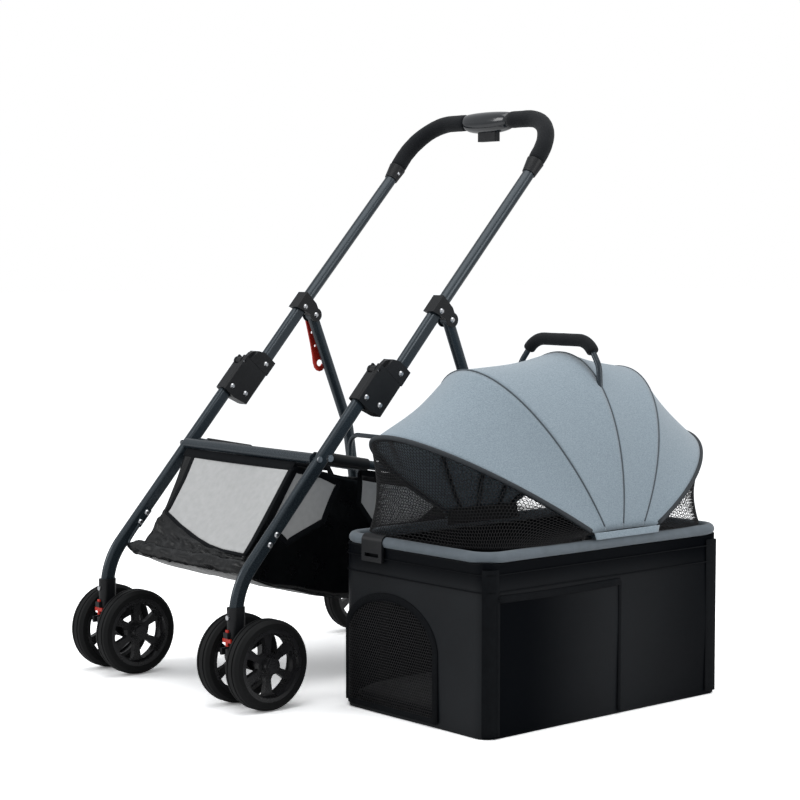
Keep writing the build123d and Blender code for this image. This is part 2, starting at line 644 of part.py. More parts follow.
# ---- side rails: round tubes from the front legs to the rear legs, which carry the carrier ------
rail_overhang = 8.0
with BuildPart() as side_rails:
    with BuildSketch(Plane(origin=(rail_x, *on_rail(-rail_overhang)), x_dir=(1, 0, 0),
                           z_dir=(0, cos(rail_angle), sin(rail_angle)))):
        Circle(rail_r)
        Circle(rail_r - tube_wall, mode=Mode.SUBTRACT)
    extrude(amount=rail_length + 2 * rail_overhang)
    for point in (rail_front, rail_rear):
        rod(point, rail_x - rail_r, rail_x + rail_r, rail_bolt_r + running, Mode.SUBTRACT)
    both_sides()
keep(side_rails, "side_rails")

with BuildPart() as rail_sleeves:
    with BuildSketch(Plane(origin=(rail_x, *on_rail(sleeve_span[0])), x_dir=(1, 0, 0),
                           z_dir=(0, cos(rail_angle), sin(rail_angle)))):
        Circle(rail_r + sleeve_wall)
        Circle(rail_r, mode=Mode.SUBTRACT)
    extrude(amount=sleeve_span[1] - sleeve_span[0])
    both_sides()
keep(rail_sleeves, "rail_sleeves")

# ---- retaining loop: round bar welded across the rails, which keeps the carrier from sliding ----
loop_foot = on_rail((loop_y - rail_front[0]) / cos(rail_angle))[1]
with BuildPart() as retaining_loop:
    with BuildLine() as loop_line:
        FilletPolyline((rail_x, loop_y, loop_foot + 5), (rail_x, loop_y, loop_top),
                       (-rail_x, loop_y, loop_top), (-rail_x, loop_y, loop_foot + 5), radius=25)
    pipe(loop_line.wires()[0], loop_r)
    for s in (-1, 1):
        with BuildSketch(Plane(origin=(s * rail_x, *on_rail(0)), x_dir=(1, 0, 0),
                               z_dir=(0, cos(rail_angle), sin(rail_angle)))):
            Circle(rail_r)
        extrude(amount=rail_length, mode=Mode.SUBTRACT)
keep(retaining_loop, "retaining_loop")

# ---- rail bolts: through the front legs, with a spacer between leg and rail -----------------------
rail_in = rail_x - rail_r - seat_gap
rail_out = rail_x + rail_r + seat_gap
with BuildPart() as rail_bolts:
    rod(rail_front, rail_in, tube_x[1], rail_bolt_r)
    rod(rail_front, rail_in - 4, rail_in, 6)
    rod(rail_front, rail_out, tube_x[0], 5.5)
    rod(rail_front, tube_x[1], tube_x[1] + 3, 6)
    both_sides()
keep(rail_bolts, "rail_bolts")

# ---- basket wires: bent round bar with a flat tab on each leg, inside the basket's front roll -----
wire_r = 2.5
wire_tab = 2.5
wire_x = tube_x[0] - wire_r
tab_along = (leg_screws_along[0] - 8, leg_screws_along[1] + 8)
roll = (3.0, 226.0)
with BuildPart() as basket_wires:
    with BuildLine() as wire_line:
        FilletPolyline((wire_x, *on_leg(tab_along[0] + 1.5, leg_screw_rise)), (wire_x, *roll),
                       (-wire_x, *roll), (-wire_x, *on_leg(tab_along[0] + 1.5, leg_screw_rise)),
                       radius=12)
    pipe(wire_line.wires()[0], wire_r)
    for s in (-1, 1):
        slab([on_leg(tab_along[0], leg_screw_rise - 6), on_leg(tab_along[0], leg_screw_rise + 6),
              on_leg(tab_along[1], leg_screw_rise + 6), on_leg(tab_along[1], leg_screw_rise - 6)],
             *sorted((s * tube_x[0], s * (tube_x[0] - wire_tab))))
        for point in leg_screws:
            rod(point, *sorted((s * (tube_x[0] + 1), s * (tube_x[0] - 8))), screw_d / 2 + screw_gap,
                Mode.SUBTRACT)
keep(basket_wires, "basket_wires")

# ---- storage basket: sewn fabric tray, hung from the crossbar and from the wire in its front roll --
basket_outline = [(127, 391), (-5, 231), (-6, 222), (14, 207), (118, 177), (212, 154), (330, 146),
                  (430, 158), (496, 190), (520, 240), (524, 322), (148, 386)]
basket_inside = [(131, 395), (0, 232), (15, 212), (118, 180), (212, 157), (330, 149),
                 (430, 161), (494, 192.5), (517, 241), (521, 330), (148, 395)]
basket_half = rail_x - rail_r - 5
with BuildPart() as storage_basket:
    slab(basket_outline, -basket_half, basket_half)
    rod(roll, -rail_x + 1, rail_x - 1, 9)
    slab(basket_inside, -basket_half + basket_wall, basket_half - basket_wall, mode=Mode.SUBTRACT)
    rod(crossbar, -rail_x, rail_x, crossbar_r, Mode.SUBTRACT)
    rod(roll, -rail_x, rail_x, wire_r, Mode.SUBTRACT)
keep(storage_basket, "storage_basket")


def screw(point, seat, direction, length):
    """Screw along X with one domed head, seated at x = seat and pointing along direction."""
    tip = seat + direction * length
    rod(point, min(seat, tip), max(seat, tip), screw_d / 2)
    outer = seat - direction * screw_head_h
    rod(point, min(seat, outer), max(seat, outer), screw_head_d / 2)


# ---- screws of the front frame ------------------------------------------------------------
with BuildPart() as front_frame_screws:
    for point in leg_screws:
        rivet(point, tube_x[0] - wire_tab, tube_x[1])
    for point in housing_screws:
        rivet(point, *housing_x)
    screw(crossbar, tube_x[1], -1, flat_tube_width + 11)
    with BuildSketch(Plane(origin=(half_track, collar_front + collar_wall, 152), x_dir=(1, 0, 0),
                           z_dir=(0, -1, 0))):
        Circle(screw_d / 2)
    extrude(amount=collar_wall + screw_head_h)
    with BuildSketch(Plane(origin=(half_track, collar_front, 152), x_dir=(1, 0, 0),
                           z_dir=(0, -1, 0))):
        Circle(screw_head_d / 2 - 1)
    extrude(amount=screw_head_h)
    both_sides()
keep(front_frame_screws, "front_frame_screws")

# ---- screws of the handle and the pins the rear legs turn on -----------------------------------
hook_thick = 3.0
hook_seat = -(housing_x[1] + 2 * seat_gap + hook_thick)
with BuildPart() as handle_screws:
    rivet(knuckle_screw, *housing_x)
    rivet(bracket_screw, *housing_x)
    both_sides()
keep(handle_screws, "handle_screws")

with BuildPart() as leg_pivot_pins:
    rivet(rear_pivot, *housing_x)
    rivet(rear_pivot, hook_seat, -housing_x[0])
keep(leg_pivot_pins, "leg_pivot_pins")

# ---- lock hook: red plate that hangs on the right rear leg's pivot pin -----------------------------
hook_drop = 114.0
hook_lean = radians(16)
hook_eye = (98.0, 2.0, 6.5)  # down, across and radius of the catch near its lower end


def on_hook(down, across):
    return (rear_pivot[0] + down * sin(hook_lean) + across * cos(hook_lean),
            rear_pivot[1] - down * cos(hook_lean) + across * sin(hook_lean))


with BuildPart() as lock_hook:
    slab([on_hook(-9, -7), on_hook(-9, 7), on_hook(20, 7.5), on_hook(55, 9), on_hook(78, 12.5),
          on_hook(90, 14.5), on_hook(104, 14), on_hook(110, 11), on_hook(hook_drop, 5),
          on_hook(hook_drop, -2), on_hook(110, -8), on_hook(103, -11.5), on_hook(93, -12),
          on_hook(80, -10), on_hook(55, -8), on_hook(20, -7)],
         hook_seat + seat_gap, hook_seat + seat_gap + hook_thick)
    slab([on_hook(hook_eye[0] - 3.5, hook_eye[1]), on_hook(hook_eye[0] - 3.5, 18),
          on_hook(hook_eye[0] + 3.5, 18), on_hook(hook_eye[0] + 3.5, hook_eye[1])],
         hook_seat - 1, hook_seat + hook_thick + 2, Mode.SUBTRACT)
    for point, radius in ((on_hook(0, 0), screw_d / 2 + running), (on_hook(36, 0.5), 2.6),
                          (on_hook(63, 1), 2.6), (on_hook(*hook_eye[:2]), hook_eye[2])):
        rod(point, hook_seat - 1, hook_seat + hook_thick + 2, radius, Mode.SUBTRACT)
keep(lock_hook, "lock_hook")

# ---- carrier rim: tube ring that the tub hangs from --------------------------------------------
middle_x = (carrier_x[0] + carrier_x[1]) / 2
middle_y = (carrier_y[0] + carrier_y[1]) / 2
carrier_width = carrier_x[1] - carrier_x[0]
carrier_length = carrier_y[1] - carrier_y[0]
rim_z = carrier_height - rim_r
hoop_half = carrier_width / 2 - rim_r  # the hoops stand over the middle of the rim's tube


def ring_bar(radius, inner, mode=Mode.ADD):
    """Round bar bent into the carrier's rim."""
    with BuildSketch(Plane(origin=(middle_x, middle_y, rim_z))) as outline:
        RectangleRounded(carrier_width - 2 * rim_r, carrier_length - 2 * rim_r, rim_corner_r)
    path = outline.sketch.faces()[0].outer_wire()
    with BuildSketch(Plane(origin=path @ 0, z_dir=path % 0)) as section:
        Circle(radius)
        if inner > 0:
            Circle(inner, mode=Mode.SUBTRACT)
    sweep(section.sketch, path=path, mode=mode)


with BuildPart() as rim_tube:
    ring_bar(rim_r, rim_r - tube_wall)
keep(rim_tube, "rim_tube")

# ---- carrier tub: stiffened fabric box with an arched window in its front end ----------------------
tub_outer = (carrier_width - 2 * tub_inset, carrier_length - 2 * tub_inset)
tub_inner = (tub_outer[0] - 2 * tub_wall, tub_outer[1] - 2 * tub_wall)


def block(size, corner, z0, height, mode=Mode.ADD):
    with BuildSketch(Plane(origin=(middle_x, middle_y, z0))) as outline:
        RectangleRounded(*size, corner)
    extrude(outline.sketch, amount=height, mode=mode)


def arch_window(plane, depth, mode):
    with BuildSketch(plane) as outline:
        with BuildLine():
            Polyline((window_x[0], window_top - 75), (window_x[0], window_sill),
                     (window_x[1], window_sill), (window_x[1], window_top - 75))
            EllipticalCenterArc(((window_x[0] + window_x[1]) / 2, window_top - 75),
                                (window_x[1] - window_x[0]) / 2, 75, start_angle=0, arc_size=180)
        make_face()
    extrude(outline.sketch, amount=depth, mode=mode)


front_wall = Plane(origin=(0, carrier_y[0] + tub_inset, 0), x_dir=(1, 0, 0), z_dir=(0, -1, 0))
with BuildPart() as tub_shell:
    block(tub_outer, tub_corner_r, 0, carrier_height - 2 * rim_r + 4)
    block(tub_inner, tub_corner_r - tub_wall, tub_wall, carrier_height, Mode.SUBTRACT)
    ring_bar(rim_r, 0, Mode.SUBTRACT)
    arch_window(front_wall, -tub_wall - 1, Mode.SUBTRACT)
    arch_window(front_wall, 1, Mode.SUBTRACT)
keep(tub_shell, "tub_shell")

with BuildPart() as window_mesh:
    arch_window(front_wall.offset(-0.8), -1.4, Mode.ADD)
keep(window_mesh, "window_mesh")

# ---- strap clip: buckle plate that hangs from a strap sewn over the rim's front --------------------
rim_line_y = carrier_y[0] + rim_r
strap_r = (rim_r + 0.15, rim_r + 0.15 + clip_wall)
clip_face = rim_line_y - strap_r[1]
with BuildPart() as strap_clip:
    with BuildSketch(side(clip_x - clip[0] / 2)) as profile:
        with Locations((rim_line_y, rim_z)):
            Circle(strap_r[1])
        with Locations((rim_line_y + 3 + rim_r, rim_z)):
            Rectangle(2 * rim_r, 4 * rim_r, mode=Mode.SUBTRACT)
        with Locations((clip_face + clip[1] + rim_r, rim_z - rim_r)):
            Rectangle(2 * rim_r, 2 * rim_r, mode=Mode.SUBTRACT)
        Polygon((clip_face, rim_z), (clip_face, carrier_height - clip[2]),
                (clip_face + clip[1], carrier_height - clip[2]), (clip_face + clip[1], rim_z), align=None)
        with Locations((rim_line_y, rim_z)):
            Circle(strap_r[0], mode=Mode.SUBTRACT)
    extrude(profile.sketch, amount=clip[0])
    with BuildSketch(Plane(origin=(clip_x, clip_face, carrier_height - clip[2] + 11), x_dir=(1, 0, 0),
                           z_dir=(0, -1, 0))) as slot:
        Rectangle(clip[0] - 16, 6)
    extrude(slot.sketch, amount=-clip[1] - 1, mode=Mode.SUBTRACT)
keep(strap_clip, "strap_clip")

with BuildPart() as floor_board:
    block((tub_inner[0] - 2, tub_inner[1] - 2), tub_corner_r - tub_wall - 1, tub_wall, board_height)
keep(floor_board, "floor_board")

with BuildPart() as cushion:
    block((tub_inner[0] - 2 * cushion_gap, tub_inner[1] - 2 * cushion_gap), 28,
          tub_wall + board_height, cushion_height)
    fillet(faces().sort_by(Axis.Z)[-1].edges(), 9)
keep(cushion, "cushion")

# ---- hoop mounts: moulded strips clipped on the rim's long sides, with a stub pin for each hoop ------
pivot_z = carrier_height + pivot_rise
mount_x = (hoop_half - 11.5, hoop_half - 5.5)
mount_y = (carrier_y[0] + hoops[1][0] - 16, carrier_y[0] + hoops[5][0] + 16)
with BuildPart() as hoop_mounts:
    for s in (-1, 1):
        slab([(mount_y[0], rim_z), (mount_y[0] + 8, pivot_z + 9), (mount_y[1] - 8, pivot_z + 9),
              (mount_y[1], rim_z)], *sorted((middle_x + s * mount_x[0], middle_x + s * mount_x[1])))
        for pivot_y, reach, lean in hoops.values():
            ends = sorted((middle_x + s * mount_x[0], middle_x + s * (hoop_half + 3.2)))
            rod((carrier_y[0] + pivot_y, pivot_z), *ends, hoop_pin_r)
    ring_bar(rim_r, 0, Mode.SUBTRACT)
keep(hoop_mounts, "hoop_mounts")


def hoop_plane(pivot_y, lean, z=pivot_z):
    tilt = radians(lean)
    return Plane(origin=(middle_x, carrier_y[0] + pivot_y, z), x_dir=(1, 0, 0),
                 z_dir=(0, -cos(tilt), sin(tilt)))


def arch_points(half, reach, power=2.0, count=16):
    points = []
    for k in range(count + 1):
        angle = radians(180.0 * k / count)
        across = abs(cos(angle)) ** (2 / power) * (1 if k <= count / 2 else -1)
        points.append((half * across, reach * abs(sin(angle)) ** (2 / power)))
    points[0] = (half, 0)
    points[-1] = (-half, 0)
    return points


def hoop_bar(pivot_y, reach, lean, bore):
    """Arch of round bar with an eye at each end, on the line of its two pins."""
    plane = hoop_plane(pivot_y, lean)
    with BuildLine() as line:
        Spline(*[plane.from_local_coords(Vector(*point, 0)) for point in arch_points(hoop_half, reach)],
               tangents=(plane.y_dir, -plane.y_dir))
    pipe(line.wires()[0], hoop_r)
    eye = (carrier_y[0] + pivot_y, pivot_z)
    for s in (-1, 1):
        ends = sorted((middle_x + s * (hoop_half - hoop_eye_width / 2),
                       middle_x + s * (hoop_half + hoop_eye_width / 2)))
        rod(eye, *ends, hoop_eye_r)
        rod(eye, ends[0] - 1, ends[1] + 1, bore, Mode.SUBTRACT)


for number in (1, 2, 4, 5):
    with BuildPart() as hoop:
        hoop_bar(*hoops[number], hoop_pin_r + running)
    hoop.part.label = f"canopy_hoop_{number}"
    pieces[hoop.part.label] = hoop.part

# ---- carry hoop: the fixed middle hoop, with the carrying handle's bar welded over it -----------------
carry_foot = hoops[3][1] * (1 - (carry_foot_x / hoop_half) ** 2) ** 0.5
carry_top = hoops[3][1] + carry_rise
elbow_height = hoops[3][1] + carry_elbow[1]
arm_length = hypot(carry_elbow[0] - carry_half, carry_top - elbow_height)
grip_share = carry_grip_drop / arm_length
grip_end = (carry_half + grip_share * (carry_elbow[0] - carry_half),
            carry_top - grip_share * (carry_top - elbow_height))
with BuildPart() as carry_hoop:
    hoop_bar(*hoops[3], hoop_pin_r)
    with BuildLine(hoop_plane(hoops[3][0], hoops[3][2])) as line:
        FilletPolyline((-carry_foot_x, carry_foot), (-carry_elbow[0], elbow_height),
                       (-carry_half, carry_top), (carry_half, carry_top),
                       (carry_elbow[0], elbow_height), (carry_foot_x, carry_foot), radius=carry_bend_r)
    pipe(line.wires()[0], carry_bar_r)
keep(carry_hoop, "carry_hoop")

with BuildPart() as carry_grip:
    with BuildLine(hoop_plane(hoops[3][0], hoops[3][2])) as line:
        FilletPolyline((-grip_end[0], grip_end[1]), (-carry_half, carry_top), (carry_half, carry_top),
                       (grip_end[0], grip_end[1]), radius=carry_bend_r)
    pipe(line.wires()[0], carry_grip_r, carry_bar_r)
keep(carry_grip, "carry_grip")


def crescent(pivot_y, reach, lean, z=pivot_z, power=2.0):
    """Face of the cloth's thickness round one hoop, further out where the cloth turns sharply."""
    inner = hoop_r + (end_lift if abs(lean) > 45 else seat_gap + 0.5)
    with BuildSketch(hoop_plane(pivot_y, lean, z)) as face:
        with BuildLine():
            outer_edge = arch_points(hoop_half + inner + cloth, reach + inner + cloth, power)
            inner_edge = arch_points(hoop_half + inner, reach + inner, power)
            Spline(*outer_edge, tangents=((0, 1), (0, -1)))
            Line(outer_edge[-1], inner_edge[-1])
            Spline(*inner_edge, tangents=((0, 1), (0, -1)))
            Line(inner_edge[0], outer_edge[0])
        make_face()
    return face.sketch.faces()[0]


# ---- canopy: sewn cloth, front and rear halves meeting on the carry hoop -------------------------------
for name, numbers in (("canopy_front", (1, 2, 3)), ("canopy_rear", (3, 4, 5))):
    with BuildPart() as canopy:
        loft([crescent(*hoops[n]) for n in numbers], ruled=True)
        # cut-outs where the carrying handle comes through the middle seam
        with BuildSketch(hoop_plane(hoops[3][0], hoops[3][2]).offset(-7)) as notches:
            for s in (-1, 1):
                with Locations((s * carry_foot_x, carry_foot + 12)):
                    Rectangle(4 * carry_bar_r + 2, 60)
        extrude(notches.sketch, amount=14, mode=Mode.SUBTRACT)
    canopy.part.label = name
    pieces[name] = canopy.part

# ---- nets: from the end hoops down to the rim ----------------------------------------------------------
for name, number, foot in (("front_net", 1, net_front), ("rear_net", 5, net_rear)):
    with BuildPart() as net:
        loft([crescent(*hoops[number]), crescent(*foot, z=carrier_height + 0.3, power=4.0)], ruled=True)
    net.part.label = name
    pieces[name] = net.part

# ---- move everything so the origin is under the middle, and write the files -----------------------------
boxes = [piece.bounding_box() for piece in pieces.values()]
low = [min(getattr(box.min, axis) for box in boxes) for axis in "XYZ"]
high = [max(getattr(box.max, axis) for box in boxes) for axis in "XYZ"]
to_origin = Location((-(low[0] + high[0]) / 2, -(low[1] + high[1]) / 2, -low[2]))
os.makedirs("parts", exist_ok=True)
for name, piece in pieces.items():
    placed = piece.moved(to_origin)
    placed.label = name
    export_step(placed, f"parts/{name}.step")
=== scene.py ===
import math

import bmesh
import bpy
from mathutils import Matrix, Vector, noise


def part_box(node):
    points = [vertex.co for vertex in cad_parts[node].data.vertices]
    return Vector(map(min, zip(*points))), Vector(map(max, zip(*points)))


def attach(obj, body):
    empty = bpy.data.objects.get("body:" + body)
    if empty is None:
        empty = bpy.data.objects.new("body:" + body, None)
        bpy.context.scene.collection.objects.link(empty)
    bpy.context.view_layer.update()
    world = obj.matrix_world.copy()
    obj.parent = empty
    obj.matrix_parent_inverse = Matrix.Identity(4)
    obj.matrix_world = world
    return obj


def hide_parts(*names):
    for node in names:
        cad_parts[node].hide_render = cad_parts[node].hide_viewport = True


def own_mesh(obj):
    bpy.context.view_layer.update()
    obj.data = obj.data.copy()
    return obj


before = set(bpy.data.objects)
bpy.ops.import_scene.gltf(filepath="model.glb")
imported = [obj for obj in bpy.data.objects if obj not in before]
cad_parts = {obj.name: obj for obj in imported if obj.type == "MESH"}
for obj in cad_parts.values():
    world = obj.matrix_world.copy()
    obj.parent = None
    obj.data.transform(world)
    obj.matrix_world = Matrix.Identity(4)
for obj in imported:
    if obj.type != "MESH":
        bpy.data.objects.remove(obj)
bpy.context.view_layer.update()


# ---- Where things stand --------------------------------------------------------------------------
# Sizes below are in metres from the stroller's own datum: x from its middle plane, y from the
# line of the front wheels' axles, z from the ground. The front crossbar says where that is.
bar_low, bar_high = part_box("front_crossbar")
bar_behind_axles = 0.137
datum = Vector(((bar_low.x + bar_high.x) / 2, (bar_low.y + bar_high.y) / 2 - bar_behind_axles, 0))
both_sides = (("left", 1), ("right", -1))


def at(x, y, z):
    return datum + Vector((x, y, z))


# It is seen from its front left corner, from a little below the height of the push bar.
heading, drop = math.radians(49.258), math.radians(4.1687)
view_line = Vector((-math.sin(heading) * math.cos(drop), math.cos(heading) * math.cos(drop), -math.sin(drop)))
camera = bpy.data.objects.new("camera", bpy.data.cameras.new("camera"))
camera.data.lens = 91.1
camera.location = at(2.845, -1.963, 0.745)
camera.rotation_euler = view_line.to_track_quat("-Z", "Y").to_euler()
bpy.context.collection.objects.link(camera)
bpy.context.scene.camera = camera
bpy.context.scene.view_settings.view_transform = "Standard"


# ---- How finishes are mixed ----------------------------------------------------------------------
# A Tap is one socket of a finish. Sums written with taps add Math nodes, node() adds any other
# node, and blend_to() mixes two colours by the tap's value.
class Tap:
    def __init__(self, finish, socket):
        self.finish, self.socket = finish, socket

    def math(self, operation, first, second):
        return self.finish.node("Math", settings={"operation": operation}, i0=first, i1=second)

    def __add__(self, other): return self.math("ADD", self, other)
    def __radd__(self, other): return self.math("ADD", other, self)
    def __sub__(self, other): return self.math("SUBTRACT", self, other)
    def __rsub__(self, other): return self.math("SUBTRACT", other, self)
    def __mul__(self, other): return self.math("MULTIPLY", self, other)
    def __gt__(self, other): return self.math("GREATER_THAN", self, other)

    def blend_to(self, low, high):
        return self.finish.node("Mix", out=2, settings={"data_type": "RGBA"}, i0=self, i6=low, i7=high)


class Finish:
    def __init__(self, name, **constants):
        self.material = bpy.data.materials.new(name)
        self.material.use_nodes = True
        self.tree = self.material.node_tree
        self.shader = self.tree.nodes["Principled BSDF"]
        self.set(**constants)

    def node(self, kind, out=0, settings=None, **inputs):
        made = self.tree.nodes.new("ShaderNode" + kind)
        for name, value in (settings or {}).items():
            setattr(made, name, value)
        self.fill(made, inputs)
        return Tap(self, made.outputs[out])

    def fill(self, made, inputs):
        for name, value in inputs.items():
            number = name[1:]
            socket = made.inputs[int(number)] if name[0] == "i" and number.isdigit() else \
                made.inputs[name.replace("_", " ")]
            if isinstance(value, Tap):
                self.tree.links.new(value.socket, socket)
            elif socket.type == "RGBA":
                socket.default_value = (*value, 1)[:4]
            else:
                socket.default_value = value

    def set(self, **inputs):
        self.fill(self.shader, inputs)

    def place(self):
        return self.node("TexCoord", out=3)

    def grain(self, scale, detail=3.0, rough=0.55):
        return self.node("TexNoise", Vector=self.place(), Scale=scale, Detail=detail, Roughness=rough)

    def bump(self, height, strength, distance):
        return self.node("Bump", Height=height, Strength=strength, Distance=distance)


def clouded(name, low, high, cloud, rough, skin, **constants):
    """Finish whose colour drifts between low and high in clouds of one scale and detail. rough is its
    roughness and what the clouds add to it; skin is the scale, detail, strength and depth of its grain."""
    made = Finish(name, **constants)
    tone = made.grain(*cloud)
    made.set(Base_Color=tone.blend_to(low, high), Roughness=rough[0] + tone * rough[1],
             Normal=made.bump(made.grain(*skin[:2]), *skin[2:]))
    return made


def dress(finish, *names):
    """Gives a finish to CAD nodes, by name."""
    for name in names:
        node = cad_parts[name]
        node.data.materials.clear()
        node.data.materials.append(finish.material)


def finish_of(piece, finish):
    """Gives a finish to a piece made here, and hands the piece back."""
    piece.data.materials.clear()
    piece.data.materials.append(finish.material)
    return piece


# ---- Floor, backdrop and lamps -------------------------------------------------------------------
# A wide pale sheet with soft lamps: one broad box overhead, one in front on the far side and a
# lower one behind on the near side, so the dark tubes get long soft highlights.
ground = Finish("studio_floor", Base_Color=(0.80, 0.80, 0.80), Roughness=0.9, Specular_IOR_Level=0.1)
seen = ground.node("LightPath", out=0)
white = ground.node("Emission", Color=(1, 1, 1), Strength=0.12)
shadowed = ground.node("BsdfDiffuse", Color=(1.75, 1.75, 1.75))
bright = ground.node("AddShader", i0=white, i1=shadowed)
shown = ground.node("MixShader", i0=seen, i1=Tap(ground, ground.shader.outputs[0]), i2=bright)
ground.tree.links.new(shown.socket, ground.tree.nodes["Material Output"].inputs[0])
bpy.ops.mesh.primitive_plane_add(size=60, location=at(0, 0, -0.0005))
floor = bpy.context.object
floor.name = "studio_floor"
finish_of(floor, ground)

sky = bpy.data.worlds.new("studio")
sky.use_nodes = True
bpy.context.scene.world = sky
sky_tree = sky.node_tree
path, clear, pick = (sky_tree.nodes.new("ShaderNode" + kind)
                     for kind in ("LightPath", "Background", "MixShader"))
background = sky_tree.nodes["Background"]
for shade, colour, strength in ((background, (0.96, 0.98, 1, 1), 0.55), (clear, (1, 1, 1, 1), 1.0)):
    shade.inputs["Color"].default_value = colour
    shade.inputs["Strength"].default_value = strength
for number, source in enumerate((path.outputs["Is Camera Ray"], background.outputs[0], clear.outputs[0])):
    sky_tree.links.new(source, pick.inputs[number])
sky_tree.links.new(pick.outputs[0], sky_tree.nodes["World Output"].inputs[0])


def lamp(name, place, target, size, watts):
    light = bpy.data.lights.new(name, "AREA")
    light.shape = "RECTANGLE"
    light.size, light.size_y = size
    light.energy = watts
    holder = bpy.data.objects.new(name, light)
    holder.location = place
    holder.rotation_euler = (target - place).to_track_quat("-Z", "Y").to_euler()
    bpy.context.collection.objects.link(holder)


lamp("overhead_box", at(0.4, 0.2, 2.8), at(0.2, 0.35, 0.3), (2.4, 2.4), 34)
lamp("front_left_box", at(-1.6, -2.6, 1.9), at(0.2, 0.3, 0.5), (1.4, 1.8), 30)
lamp("right_box", at(3.2, 1.4, 1.6), at(0.4, 0.3, 0.4), (1.2, 1.6), 20)


# ---- Bent tubes of the chassis -------------------------------------------------------------------
# Steel tube, flat-oval for the legs and round elsewhere, powder coated in a dark slate blue
# with a faint orange-peel skin.
coat = Finish("slate_powder_coat", Metallic=0.40, Coat_Weight=0.30, Coat_Roughness=0.30)
peel = coat.grain(900, 2)
cloudy = coat.grain(14, 3)
coat.set(Base_Color=cloudy.blend_to((0.019, 0.029, 0.038), (0.029, 0.042, 0.053)),
         Roughness=0.22 + peel * 0.10, Normal=coat.bump(peel, 0.10, 0.0004))
dress(coat, "front_legs", "front_crossbar", "mid_tubes", "push_bar", "rear_legs", "rear_cross_tube",
      "side_rails", "retaining_loop", "basket_wires", "canopy_hoop_1", "canopy_hoop_2", "canopy_hoop_4",
      "canopy_hoop_5", "carry_hoop")


# ---- Moulded fittings ----------------------------------------------------------------------------
# Glass-filled nylon: fold hinges, brackets, caster forks and collars, hub blocks, pedal. The
# moulds have a fine spark-eroded grain, a little shinier where hands rub the edges.
nylon = clouded("black_nylon", (0.0045, 0.0050, 0.0062), (0.012, 0.013, 0.015), (30, 4), (0.30, 0.20),
                (1400, 2, 0.22, 0.0004), Specular_IOR_Level=0.32)
dress(nylon, "hinge_housings", "hinge_knuckles", "leg_brackets", "caster_collars", "caster_fork_left",
      "caster_fork_right", "rear_hub_blocks", "brake_bar", "grip_collars", "rail_sleeves", "trigger",
      "hoop_mounts", "strap_clip")

# The grip housing is polished instead.
shell_gloss = clouded("dark_grey_gloss", (0.008, 0.010, 0.013), (0.014, 0.017, 0.021), (40, 2), (0.16, 0),
                      (700, 2, 0.04, 0.0003), Coat_Weight=0.6, Coat_Roughness=0.06)
dress(shell_gloss, "release_housing")


# ---- Red locks -----------------------------------------------------------------------------------
# The fold lock's hook and the casters' swivel tabs are moulded in signal red, so that a hand
# finds them. The mouldings are smooth, with a faint cloud where the plastic flowed.
signal = clouded("signal_red", (0.50, 0.022, 0.012), (0.66, 0.034, 0.018), (60, 3), (0.28, 0.12),
                 (900, 2, 0.08, 0.0003), Specular_IOR_Level=0.5)
dress(signal, "lock_hook", "swivel_lock_left", "swivel_lock_right")


# ---- Screws and pins -----------------------------------------------------------------------------
# Zinc-plated steel: the turned pins that the frame folds on, and the screw heads, with fine
# rings and a few dull spots where the plating is thin.
zinc = clouded("bright_zinc", (0.46, 0.47, 0.49), (0.72, 0.73, 0.75), (160, 4), (0.18, 0.22),
               (1200, 2, 0.05, 0.0003), Metallic=1.0)
dress(zinc, "front_frame_screws", "handle_screws", "leg_pivot_pins", "rail_bolts", "hinge_pins",
      "latch_bolts")


# ---- Tyres and hubs ------------------------------------------------------------------------------
# Solid EVA tyres with a matt, slightly dusty skin, pressed on moulded black hubs with a sheen.
# The axles are blackened, and their caps match the hubs.
rubber = clouded("eva_tyre", (0.0035, 0.0037, 0.004), (0.010, 0.0105, 0.011), (45, 5), (0.50, 0.25),
                 (800, 3, 0.25, 0.0005), Specular_IOR_Level=0.18)
dress(rubber, "caster_tyres_left", "caster_tyres_right", "rear_tyre_left", "rear_tyre_right")
hub_black = clouded("hub_black", (0.009, 0.009, 0.010), (0.020, 0.020, 0.022), (50, 3), (0.20, 0.16),
                    (900, 2, 0.08, 0.0003), Specular_IOR_Level=0.55)
dress(hub_black, "caster_hubs_left", "caster_hubs_right", "rear_hub_left", "rear_hub_right",
      "rear_axle", "caster_axle_left", "caster_axle_right")


# ---- Board under the cushion ---------------------------------------------------------------------
# Pressed hardboard wrapped in thin black cloth. It stiffens the carrier's floor and holds the
# cushion up.
wrapped = clouded("wrapped_board", (0.012, 0.012, 0.014), (0.03, 0.03, 0.033), (500, 3), (0.8, 0),
                  (1500, 2, 0.3, 0.0004))
dress(wrapped, "floor_board")


# ---- Foam grips ----------------------------------------------------------------------------------
# Closed-cell foam sleeves slid over the bends of the push bar, matt, with pores and the faint
# creases that the bend presses into them.
def mesh_piece(name, points, faces, smooth=True):
    mesh = bpy.data.meshes.new(name)
    mesh.from_pydata([tuple(p) for p in points], [], faces)
    mesh.update()
    if smooth:
        mesh.polygons.foreach_set("use_smooth", [True] * len(mesh.polygons))
    piece = bpy.data.objects.new(name, mesh)
    bpy.context.collection.objects.link(piece)
    return piece


def quads(rows, columns, ring=False):
    """Faces between rows of points that follow each other; in a ring each row closes on itself."""
    return [(k * columns + j, k * columns + (j + 1) % columns, (k + 1) * columns + (j + 1) % columns,
             (k + 1) * columns + j) for k in range(rows - 1) for j in range(columns if ring else columns - 1)]


def closed_skin(name, points, sides):
    """Closed skin over rings of points that follow each other, flat at both ends."""
    faces = quads(len(points) // sides, sides, ring=True)
    faces += [tuple(range(sides))[::-1], tuple(range(len(points) - sides, len(points)))]
    return mesh_piece(name, points, faces)


